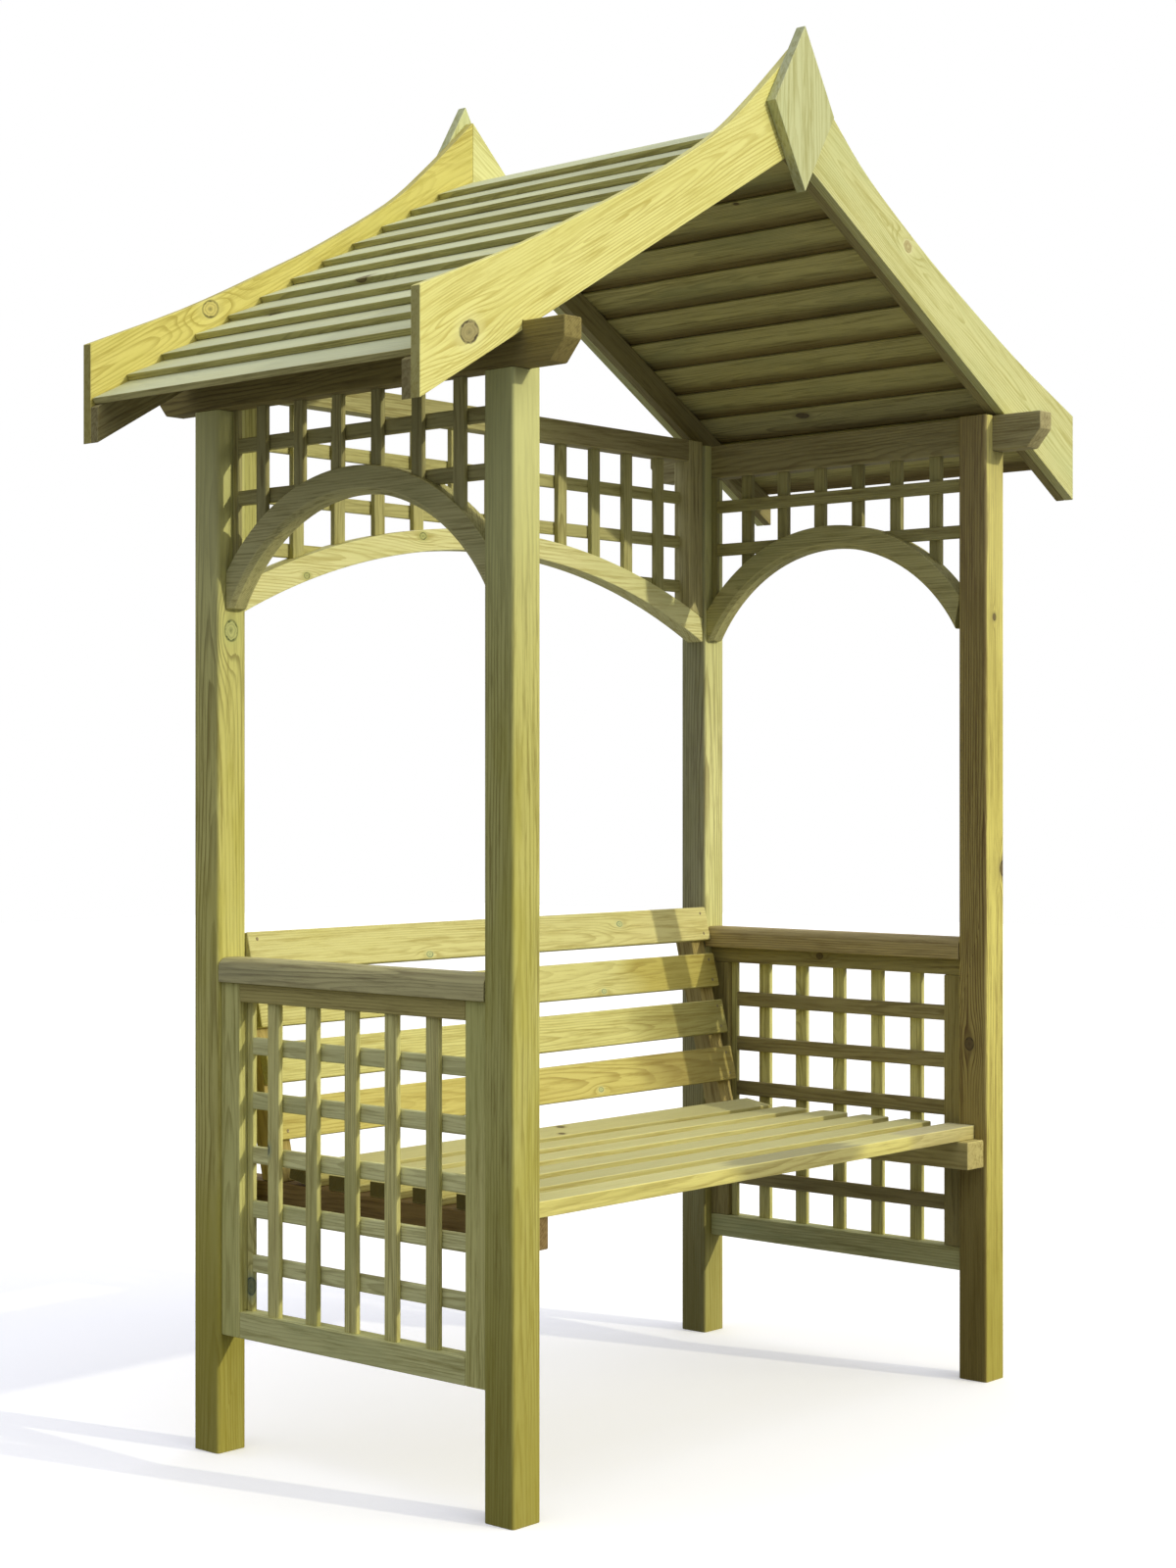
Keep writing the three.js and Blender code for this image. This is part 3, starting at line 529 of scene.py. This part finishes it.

# Roof boards: twelve feather-edged boards on each slope, every one lapped over the next one down and
# nailed to the rafters through its thick lower edge. Their tops have weathered to a pale grey green, and
# their undersides are darker near each lap, partly damp and partly painted shade.

FRAME_WIDTH = 1310
FRAME_DEPTH = 714
BEAM_TOP = 1753
ROOF_OVERHANG = 209
HEEL = 14.4
RAFTER_DEPTH = 49
JOINT = 0.3
BOND = 0.3
ROOF_BOARDS = 12
BOARDS_IN_SECTION = 3
BOARD_WIDTH = 95
BOARD_THICK = 11.3
BOARD_THIN = 4.5
BOARD_INSET = 10
BOARD_ARRIS = 1.2
roof_timber = timber(
    "roof board timber", (206, 198, 124), (140, 130, 70), (158, 158, 100), GRAIN_BACK, knot=DARK_KNOT,
    staining=0.6, knotty=0.25, top=(206, 210, 162), top_share=0.85, lap_damp_and_shade=(164, 150, 130), rough=0.86,
)
ridge = (BEAM_TOP - HEEL + FRAME_WIDTH / 2 * math.tan(PITCH)) + RAFTER_DEPTH / math.cos(PITCH)
slope_length = (FRAME_WIDTH / 2 + ROOF_OVERHANG) / math.cos(PITCH) - BOARD_INSET
board_pitch = (slope_length - BOARD_WIDTH) / (ROOF_BOARDS - 1)
lap_share = (BOARD_WIDTH - board_pitch) / BOARD_WIDTH
board_half = FRAME_DEPTH / 2 - JOINT


def on_slope(down, up, side):
    """A point on the roof, from its distance down the slope and its height square to the rafters."""
    x = down * math.cos(PITCH) + up * math.sin(PITCH)
    z = up * math.cos(PITCH) - down * math.sin(PITCH) + ridge
    return side * x * MM, z * MM


lift = JOINT
for i in range(ROOF_BOARDS):
    if i:
        thin_top = JOINT + BOARD_THIN
        top_below = thin_top + lap_share * (lift + BOARD_THICK - thin_top)
        lift = top_below + (-BOND if i % BOARDS_IN_SECTION else JOINT)
    low_edge = slope_length + JOINT - i * board_pitch
    high_edge = low_edge - BOARD_WIDTH
    section = [
        (high_edge, JOINT), (low_edge, lift), (low_edge, lift + BOARD_THICK), (high_edge, JOINT + BOARD_THIN),
    ]
    for hand, side in (("left", -1), ("right", 1)):
        shape = bmesh.new()
        corners = [on_slope(down, up, side) for down, up in section]
        ends = [[shape.verts.new((x, y * MM, z)) for x, z in corners] for y in (-board_half, board_half)]
        front, back = ends
        for end in ends:
            shape.faces.new(end)
        for j in range(len(section)):
            shape.faces.new((front[j - 1], front[j], back[j], back[j - 1]))
        bmesh.ops.recalc_face_normals(shape, faces=shape.faces)
        ease_arrises(shape, BOARD_ARRIS)
        lap = shape.verts.layers.float.new("lap")
        for vert in shape.verts:
            down = side * vert.co.x * math.cos(PITCH) - (vert.co.z - ridge * MM) * math.sin(PITCH)
            vert[lap] = (down / MM - high_edge) / board_pitch
        node = f"roof_boards_{hand}_{i // BOARDS_IN_SECTION + 1}"
        fit(f"roof_board_{hand}_{i + 1}", shape, roof_timber, GRAIN_BACK, "roof_board_timber", node)

# Side arches: an arch sawn from thick board between the front and back posts, under each eaves beam. Its
# lower arrises are chamfered, so a line follows the curve along the lower part of its face.

ARCH_ARRIS = 2
SOFFIT_CHAMFER = 8
ABOVE_FEET = 1  # millimetres
SIDE_FACE = 0.9  # least share of a side face's normal that points across the seat
side_arch_timber = timber(
    "side arch timber", (202, 196, 130), (142, 132, 76), (166, 166, 108), GRAIN_BACK, ring=4.5, wander=0.5,
    knotty=0.2,
)
for hand in ("left", "right"):
    node = f"side_arch_{hand}"
    shape = cut_to_shape(node)
    opening = Vector((0, 0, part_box(node)[0].z + ABOVE_FEET * MM))  # its middle, just above the arch's feet
    sides = {face for face in shape.faces if abs(face.normal.x) > SIDE_FACE}
    others = set(shape.faces) - sides
    soffit = {face for face in others if face.normal.dot(opening - face.calc_center_median()) > 0}
    lower = [edge for edge in shape.edges if sides & set(edge.link_faces) and soffit & set(edge.link_faces)]
    round_over(shape, lower, SOFFIT_CHAMFER, 1)
    ease_arrises(shape, ARCH_ARRIS, 3)
    fit(f"{node}_timber", shape, side_arch_timber, GRAIN_BACK, "panel_timber", node)

# Upper side trellis: rounded laths between an arch and its eaves beam, the uprights outside and the rows
# inside, nailed where they cross. One more narrow lath stands against the back post.

LATH_ARRIS = 3
LATH = 10  # thickness
END_LATH = 15  # width
LATH_END_EDGE = 29  # an edge shorter than this is at a lath's end, and stays square
KERF = 0.05  # a saw cut keeps this clear of a face, so that it never runs along one
SAWDUST = 0.2  # corners nearer to each other than this are one
SHORT_FACET = 2.5
UPPER_LATH_RECESS = 20
LATH_STOCK = {
    "plain": ((184, 178, 116), (134, 122, 70), (152, 148, 94)),
    "pale": ((218, 212, 132), (154, 142, 74), (172, 170, 96)),
    "brown": ((168, 156, 100), (116, 102, 56), (136, 126, 76)),
    "light": ((200, 194, 126), (146, 136, 74), (166, 164, 104)),
    "silver": ((232, 230, 158), (168, 160, 94), (188, 188, 120)),
}
UPRIGHT_TIMBER = {}
ROW_TIMBER = {}
for stock, tones in LATH_STOCK.items():
    for direction, turn, ways in (("upright", GRAIN_UP, UPRIGHT_TIMBER), ("row", GRAIN_BACK, ROW_TIMBER)):
        ways[stock] = timber(
            f"{stock} {direction} timber", *tones, turn, knot=BLUE_KNOT, ring=4, wander=0.5, staining=0.7,
            patch=14, knotty=0.2,
        )


def saw_off(shape, place, away):
    """Saws through a shape at a place, keeps the side that away points from, and closes the cut."""
    bmesh.ops.triangulate(shape, faces=shape.faces)
    everything = shape.verts[:] + shape.edges[:] + shape.faces[:]
    cut = bmesh.ops.bisect_plane(shape, geom=everything, plane_co=place, plane_no=away, clear_outer=True)
    rim = [item for item in cut["geom_cut"] if isinstance(item, bmesh.types.BMEdge)]
    bmesh.ops.holes_fill(shape, edges=rim)


def trim_feet(shape):
    """Runs the short facets of a lath's curved foot into its corners, so that its arrises can be rounded."""
    bmesh.ops.dissolve_limit(shape, angle_limit=FLAT, verts=shape.verts, edges=shape.edges)
    onto = {}
    for edge in shape.edges:
        if edge.calc_length() < SHORT_FACET * MM:
            foot, corner = sorted(edge.verts, key=lambda vert: max(e.calc_length() for e in vert.link_edges))
            onto[foot] = corner
    bmesh.ops.weld_verts(shape, targetmap=onto)


def laths(node, name, cuts, material, turn):
    """Some laths of a trellis: what is left of its node after the saw cuts."""
    shape = cut_to_shape(node)
    for place, away in cuts:
        saw_off(shape, place, away)
    bmesh.ops.remove_doubles(shape, verts=shape.verts, dist=SAWDUST * MM)
    trim_feet(shape)
    bmesh.ops.recalc_face_normals(shape, faces=shape.faces)
    bmesh.ops.dissolve_limit(shape, angle_limit=FLAT, verts=shape.verts, edges=shape.edges)
    ease_arrises(shape, LATH_ARRIS, 3, LATH_END_EDGE)
    fit(name, shape, material, turn, "lath_timber", node)


def side_laths(node, side, outer_face, upright_stock, row_stock):
    """The uprights, rows and end lath of a side's trellis, from the face of its uprights in."""
    behind = Vector((side * (outer_face - LATH + KERF) * MM, 0, 0))
    seam = Vector((side * (outer_face - LATH - BOND / 2 - KERF) * MM, 0, 0))
    inward = Vector((-side, 0, 0))
    back = Vector((0, 1, 0))
    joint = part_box(node)[1].y - END_LATH * MM
    row_end = Vector((0, joint - KERF * MM, 0))
    end_lath = Vector((0, joint + KERF * MM, 0))
    uprights, rows = UPRIGHT_TIMBER[upright_stock], ROW_TIMBER[row_stock]
    laths(node, f"{node}_uprights", [(behind, inward)], uprights, GRAIN_UP)
    laths(node, f"{node}_rows", [(seam, -inward), (row_end, back)], rows, GRAIN_BACK)
    laths(node, f"{node}_end_lath", [(seam, -inward), (end_lath, -back)], uprights, GRAIN_UP)


for hand, side in (("left", -1), ("right", 1)):
    side_laths(f"side_top_trellis_{hand}", side, FRAME_WIDTH / 2 - UPPER_LATH_RECESS, "plain", "plain")

# Upper back panel: a wide flat arch between the back posts, a short stile standing on each end of it, and
# a rail level with the beams. Sun falls on the arch, and the rail is in the roof's shade.

PANEL_ARRIS = 2
back_arch_timber = timber(
    "back arch timber", (236, 232, 164), (186, 172, 92), (220, 218, 144), GRAIN_ACROSS,
    knots=[(-457, 302, 1432, 5), (-183, 302, 1518, 6)], knot=GREEN_KNOT, contrast=0.5, wander=0.5, knotty=0.0,
)
RAIL_CORNER_SHADE = [(440, 330, 1700, 300, 300, (232, 226, 230))]  # painted shade, darker where it runs into the corner
back_rail_timber = timber(
    "back rail timber", (200, 194, 130), (144, 130, 72), (166, 158, 100), GRAIN_ACROSS, ring=4.5,
    contrast=0.4, marks=RAIL_CORNER_SHADE,
)
STILE_TONES = {
    "left": ((204, 200, 120), (146, 136, 64), (174, 176, 98)),
    "right": ((204, 196, 134), (138, 124, 78), (166, 156, 106)),
}
plane_off("back_arch", PANEL_ARRIS, back_arch_timber, GRAIN_ACROSS, "panel_timber")
plane_off("back_top_rail", PANEL_ARRIS, back_rail_timber, GRAIN_ACROSS, "panel_timber")
for hand, tones in STILE_TONES.items():
    back_stile_timber = timber(
        f"back stile timber {hand}", *tones, GRAIN_UP, ring=4.5, wander=0.5, knotty=0.15,
    )
    plane_off(f"back_stile_{hand}", PANEL_ARRIS, back_stile_timber, GRAIN_UP, "panel_timber")

# Back trellis: eleven uprights in front and three rows behind them, between the back arch and its rail.
# The laths are the same as the sides'.

back_row_timber = timber(
    "back row timber", *LATH_STOCK["light"], GRAIN_ACROSS, ring=4, contrast=0.45, wander=0.5, knotty=0.14,
)
lath_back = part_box("back_trellis")[0].y + LATH * MM
to_back = Vector((0, 1, 0))
front_of_rows = Vector((0, lath_back, 0))
seam = Vector((0, lath_back + (BOND + KERF) * MM, 0))
laths("back_trellis", "back_trellis_uprights", [(front_of_rows, to_back)], UPRIGHT_TIMBER["light"], GRAIN_UP)
laths("back_trellis", "back_trellis_rows", [(seam, -to_back)], back_row_timber, GRAIN_ACROSS)

# Lower side frames: two stiles and two rails on each side, half-lapped at the corners and screwed between
# the posts. Their outer faces are greener than the posts.

RAIL_KNOTS = [(614, 30, 755, 6)]
# the right frame's stile and top rail are darker and browner as painted shade
FRAME_STOCK = {
    "left": {
        "stile": ((206, 202, 122), (146, 136, 64), (176, 178, 98)),
        "top": ((184, 172, 98), (130, 116, 60), (152, 146, 82)),
        "bottom": ((206, 204, 134), (150, 142, 74), (164, 172, 112)),
    },
    "right": {
        "stile": ((166, 154, 92), (112, 98, 52), (134, 124, 70)),
        "top": ((174, 162, 98), (118, 104, 56), (138, 130, 76)),
        "bottom": ((200, 198, 132), (144, 136, 74), (156, 166, 112)),
    },
}
for hand, stock in FRAME_STOCK.items():
    side_stile_timber = timber(
        f"side stile timber {hand}", *stock["stile"], GRAIN_UP, ring=4.5, wander=0.5, knotty=0.15,
    )
    for end in ("front", "back"):
        plane_off(f"side_stile_{end}_{hand}", PANEL_ARRIS, side_stile_timber, GRAIN_UP, "panel_timber")
    for level in ("top", "bottom"):
        rail_timber = timber(
            f"side {level} rail timber {hand}", *stock[level], GRAIN_BACK, knots=RAIL_KNOTS, knot=DARK_KNOT,
            ring=4.5, contrast=0.5, wander=0.6, knotty=0.15,
        )
        plane_off(f"side_{level}_rail_{hand}", PANEL_ARRIS, rail_timber, GRAIN_BACK, "panel_timber")

# Lower trellis: five uprights, five rows and an end lath fill each lower side frame, made like the upper
# trellis. The uprights stand a little behind the frame's outer face.

LOWER_LATH_RECESS = 12.4
# the right trellis's brown rows are darker as painted shade
for hand, side, stocks in (("left", -1, ("pale", "silver")), ("right", 1, ("pale", "brown"))):
    side_laths(f"side_trellis_{hand}", side, FRAME_WIDTH / 2 - LOWER_LATH_RECESS, *stocks)

# Armrests: one length of timber over each lower side frame, between the posts, with its two upper edges
# worked to a large round. Hands and rain have greyed them.

ARMREST_ARRIS = 1.5
# the right armrest is darker and browner as painted shade
ARMREST_TONES = {
    "left": ((198, 190, 128), (134, 122, 78), (156, 152, 108)),
    "right": ((190, 172, 112), (132, 114, 66), (152, 136, 90)),
}
for hand, tones in ARMREST_TONES.items():
    armrest_timber = timber(
        f"armrest timber {hand}", *tones, GRAIN_BACK, knot=DARK_KNOT, ring=4, contrast=0.6, wander=0.4,
        knotty=0.06, patch=20, rough=0.74,
    )
    plane_off(f"armrest_{hand}", ARMREST_ARRIS, armrest_timber, GRAIN_BACK, "armrest_timber")

# Seat bearers: a rail at each end of the seat, screwed to the inner faces of the front and back posts.
# They are brown rough-sawn timber, and the front ends show beside the posts.

BEARER_ARRIS = 2.5
BEARER_TONES = {
    "left": ((148, 124, 74), (106, 84, 46), (122, 100, 58)),
    "right": ((196, 183, 112), (144, 128, 68), (166, 148, 88)),
}
for hand, tones in BEARER_TONES.items():
    bearer_timber = timber(
        f"bearer timber {hand}", *tones, GRAIN_BACK, ring=6, contrast=0.6, end_share=0.1, rough=0.86,
    )
    plane_off(f"seat_bearer_{hand}", BEARER_ARRIS, bearer_timber, GRAIN_BACK, "roof_timber")

# Seat slats: six slats across the bearers, with rounded arrises so that water runs off. Their tops have
# greyed in long streaks and are painted paler as light from above, and the front edge of the first one is
# clean yellow timber.

SEAT_SLATS = 6
SLAT_ARRIS = 2
SEAT_KNOTS = [(40, 180, 470, 6), (5, 145, 465, 5)]
SEAT_MARKS = [  # dull places on the front slat's edge
    (70, -333, 452, 175, 300, (198, 198, 212)),
    (500, -333, 452, 110, 300, (232, 230, 255)),
]
seat_timber = {}
# the top tint on the slats' tops is greying and painted light from above
for stock, tone, marks in (("front", (214, 204, 118), SEAT_MARKS), ("rest", (190, 182, 112), [])):
    seat_timber[stock] = timber(
        f"{stock} seat timber", tone, (162, 146, 70), (190, 180, 98), GRAIN_ACROSS, knots=SEAT_KNOTS,
        knot=DARK_KNOT, contrast=0.5, wander=0.5, staining=0.6, patch=40, knotty=0.06, top=(217, 212, 148),
        top_share=0.75, marks=marks, end_share=0.95,
    )
for i in range(SEAT_SLATS):
    stock = "rest" if i else "front"
    plane_off(f"seat_slat_{i + 1}", SLAT_ARRIS, seat_timber[stock], GRAIN_ACROSS, "seat_timber", 3)

# Backrest supports: two short posts that stand on the bearers behind the seat and lean back. The slats
# are screwed to their front faces.

LEAN = math.radians(13.7)
GRAIN_LEAN = (LEAN, math.pi / 2, 0)
support_timber = timber(
    "support timber", (188, 170, 100), (132, 112, 58), (154, 132, 76), GRAIN_LEAN, ring=5, contrast=0.4,
    rough=0.84,
)
for hand in ("left", "right"):
    plane_off(f"backrest_support_{hand}", PANEL_ARRIS, support_timber, GRAIN_LEAN, "roof_timber")

# Backrest slats: four planed slats across the supports, each held by two sunk screws at each end. The
# figure is clear on them, with swirls round the knots. Their right ends are browner and darker, partly as
# painted shadow.

BACK_ARRIS = 3
BACK_KNOTS = [(329, 290, 818, 6), (-186, 282, 786, 6), (251, 260, 697, 5), (194, 218, 521, 5)]
# painted shadow, with browner wood, over the right ends of the slats
BROWN_AND_SHADED_END = (600, 250, 700, 290, 900)
BACK_STOCK = {  # tones, and the tint of the right end: browner wood and painted shadow
    1: (((210, 198, 112), (166, 146, 70), (194, 178, 92)), (210, 204, 196)),
    2: (((220, 214, 134), (172, 158, 82), (202, 192, 108)), (206, 202, 184)),
    3: (((216, 210, 134), (170, 156, 82), (200, 192, 110)), (226, 216, 172)),
    4: (((216, 210, 138), (174, 160, 88), (202, 194, 112)), (255, 252, 250)),
}
for i, (tones, tint) in BACK_STOCK.items():
    back_timber = timber(
        f"backrest timber {i}", *tones, GRAIN_ACROSS, knots=BACK_KNOTS, knot=FAINT_KNOT, contrast=0.6,
        wander=0.7, knotty=0.0, marks=[(*BROWN_AND_SHADED_END, tint)],
    )
    plane_off(f"backrest_slat_{i}", BACK_ARRIS, back_timber, GRAIN_ACROSS, "backrest_timber", 3)

# Screws: weathered steel heads with a socket, two at each end of every backrest slat, driven through it
# into the support behind until they stand just proud.

SCREW_RADIUS = 3
SCREW_SIDES = 16
SCREW_PROUD = 0.4
SCREW_DEEP = 1  # how far the head reaches into the slat
SOCKET_DEPTH = 0.3
SCREW_IN = 19  # from a slat's end
SCREW_SPREAD = 20  # from a slat's middle line
BACK_SLAT = 19  # thickness
RIM_SHARE = 0.2  # of the head's radius
SOCKET_SHARE = 0.42
STEEL_TONES = ((150, 138, 100), (118, 104, 70))
STEEL_SPOTS = 900.0  # to a metre
SPOT_BAND = (0.4, 0.65)
STEEL_ROUGHNESS = (0.45, 0.75)
METAL_SHARE = 0.7
steel = bpy.data.materials.new("weathered steel")
steel.use_nodes = True
steel_tree = steel.node_tree
steel_shader = steel_tree.nodes["Principled BSDF"]
steel_place = put(steel_tree, "ShaderNodeTexCoord", {}).outputs["Object"]
inputs = {"Vector": steel_place, "Scale": STEEL_SPOTS, "Detail": 3.0}
steel_spots = put(steel_tree, "ShaderNodeTexNoise", inputs).outputs[0]
spotted = ramp(steel_tree, steel_spots, *SPOT_BAND)
steel_colour = blend(steel_tree, spotted, *(colour(*tone) for tone in STEEL_TONES))
steel_tree.links.new(steel_colour, steel_shader.inputs["Base Color"])
steel_tree.links.new(ramp(steel_tree, spotted, 0, 1, *STEEL_ROUGHNESS), steel_shader.inputs["Roughness"])
steel_shader.inputs["Metallic"].default_value = METAL_SHARE


def drive(shape, spot, out, radius):
    """Adds a screw head at a spot, facing out, with its socket pressed in."""
    turn = Vector((0, 0, 1)).rotation_difference(out).to_matrix().to_4x4()
    turn.translation = spot - out * SCREW_DEEP / 2 * MM
    made = bmesh.ops.create_cone(
        shape, cap_ends=True, segments=SCREW_SIDES, radius1=radius * MM, radius2=radius * MM,
        depth=SCREW_DEEP * MM, matrix=turn,
    )
    shape.normal_update()
    faces = {face for vert in made["verts"] for face in vert.link_faces}
    outer = max(faces, key=lambda face: face.normal.dot(out))
    for share, depth in ((RIM_SHARE, SCREW_PROUD), (SOCKET_SHARE, -SOCKET_DEPTH)):
        bmesh.ops.inset_individual(shape, faces=[outer], thickness=radius * share * MM, depth=depth * MM)


def heads(name, spots, out, radius):
    """One piece that holds the heads in a slat."""
    shape = bmesh.new()
    for spot in spots:
        drive(shape, spot, out, radius)
    mesh = bpy.data.meshes.new(name)
    shape.to_mesh(mesh)
    shape.free()
    mesh.materials.append(steel)
    piece = bpy.data.objects.new(name, mesh)
    bpy.context.scene.collection.objects.link(piece)
    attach(piece, "root")


slat_out = Vector((0, -math.cos(LEAN), math.sin(LEAN)))
slat_up = Vector((0, math.sin(LEAN), math.cos(LEAN)))
for i in BACK_STOCK:
    low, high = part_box(f"backrest_slat_{i}")
    face_middle = (low + high) / 2 + slat_out * BACK_SLAT / 2 * MM
    spots = []
    for side in (-1, 1):
        across = Vector((side * (high.x - SCREW_IN * MM), 0, 0))
        for step in (-1, 1):
            spots.append(face_middle + across + slat_up * step * SCREW_SPREAD * MM)
    heads(f"backrest_slat_{i}_screws", spots, slat_out, SCREW_RADIUS)

# The studio: a pale floor, a soft surround that is brighter overhead, and a low warm key light from the
# front right with a broad glow round it, with the camera where the photograph was taken from.

FLOOR_HALF = 14
KEY_FROM_FRONT = math.radians(14.5)
KEY_HEIGHT = math.radians(19)
KEY_STRENGTH = 1.52
KEY_SOFTNESS = math.radians(0.8)
KEY_COLOUR = (1.0, 0.96, 0.80)
GLOW_HEIGHT = math.radians(28)
GLOW_STRENGTH = 0.95
GLOW_SOFTNESS = math.radians(50)
SURROUND_LOW = (0.10, 0.10, 0.12, 1)
SURROUND_HIGH = (1.0, 1.04, 1.31, 1)
LOW_END = 0.1  # sines of the heights between which the surround brightens
HIGH_END = 0.9
CAMERA_PLACE = (-3.4133, -2.9438, 1.0794)
CAMERA_HEADING = math.radians(48.48)
CAMERA_PITCH = math.radians(0.05)
CAMERA_LENS = 59.86
CAMERA_SENSOR = 36
WHITE = (1, 1, 1, 1)
FLOOR_BOUNCE = (0.26, 0.26, 0.26, 1)
FLOOR_SEEN = (1, 0.98, 0.88, 1)
FLOOR_GLOW = 0.2

floor_shape = bmesh.new()
bmesh.ops.create_grid(floor_shape, x_segments=1, y_segments=1, size=FLOOR_HALF)
floor_mesh = bpy.data.meshes.new("studio_floor")
floor_shape.to_mesh(floor_mesh)
floor_shape.free()
studio_floor = bpy.data.objects.new("studio_floor", floor_mesh)
bpy.context.scene.collection.objects.link(studio_floor)
floor_paint = bpy.data.materials.new("floor paint")
floor_paint.use_nodes = True
floor_tree = floor_paint.node_tree
floor_tree.nodes.clear()
seen = put(floor_tree, "ShaderNodeLightPath", {}).outputs["Is Camera Ray"]
floor_colour = blend(floor_tree, seen, FLOOR_BOUNCE, FLOOR_SEEN)
matt = put(floor_tree, "ShaderNodeBsdfDiffuse", {"Color": floor_colour})
glow_share = calc(floor_tree, "MULTIPLY", seen, FLOOR_GLOW)
glow = put(floor_tree, "ShaderNodeEmission", {"Color": WHITE, "Strength": glow_share})
both = put(floor_tree, "ShaderNodeAddShader", {0: matt.outputs[0], 1: glow.outputs[0]})
put(floor_tree, "ShaderNodeOutputMaterial", {"Surface": both.outputs[0]})
floor_mesh.materials.append(floor_paint)

surround = bpy.data.worlds.new("studio surround")
surround.use_nodes = True
bpy.context.scene.world = surround
sky_tree = surround.node_tree
backdrop = sky_tree.nodes["Background"]
rays = put(sky_tree, "ShaderNodeLightPath", {}).outputs
plain = calc(sky_tree, "MAXIMUM", rays["Is Camera Ray"], rays["Is Transmission Ray"])
plain = calc(sky_tree, "MAXIMUM", plain, rays["Is Glossy Ray"])
upward = split(sky_tree, put(sky_tree, "ShaderNodeTexCoord", {}).outputs["Generated"])[2]
soft = blend(sky_tree, ramp(sky_tree, upward, LOW_END, HIGH_END), SURROUND_LOW, SURROUND_HIGH)
sky_tree.links.new(blend(sky_tree, plain, soft, WHITE), backdrop.inputs["Color"])


def lamp(name, strength, softness, height):
    """A light from the front right, at a height above the level."""
    light = bpy.data.lights.new(name, "SUN")
    light.energy = strength
    light.color = KEY_COLOUR
    light.angle = softness
    holder = bpy.data.objects.new(name, light)
    holder.rotation_euler = (math.pi / 2 - height, 0, KEY_FROM_FRONT)
    bpy.context.scene.collection.objects.link(holder)


lamp("key light", KEY_STRENGTH, KEY_SOFTNESS, KEY_HEIGHT)
lamp("glow round the key light", GLOW_STRENGTH, GLOW_SOFTNESS, GLOW_HEIGHT)

camera_data = bpy.data.cameras.new("camera")
camera_data.lens = CAMERA_LENS
camera_data.sensor_width = CAMERA_SENSOR
camera = bpy.data.objects.new("camera", camera_data)
camera.location = CAMERA_PLACE
camera.rotation_euler = (math.pi / 2 + CAMERA_PITCH, 0, -CAMERA_HEADING)
bpy.context.scene.collection.objects.link(camera)
bpy.context.scene.camera = camera
bpy.context.scene.view_settings.view_transform = "Standard"
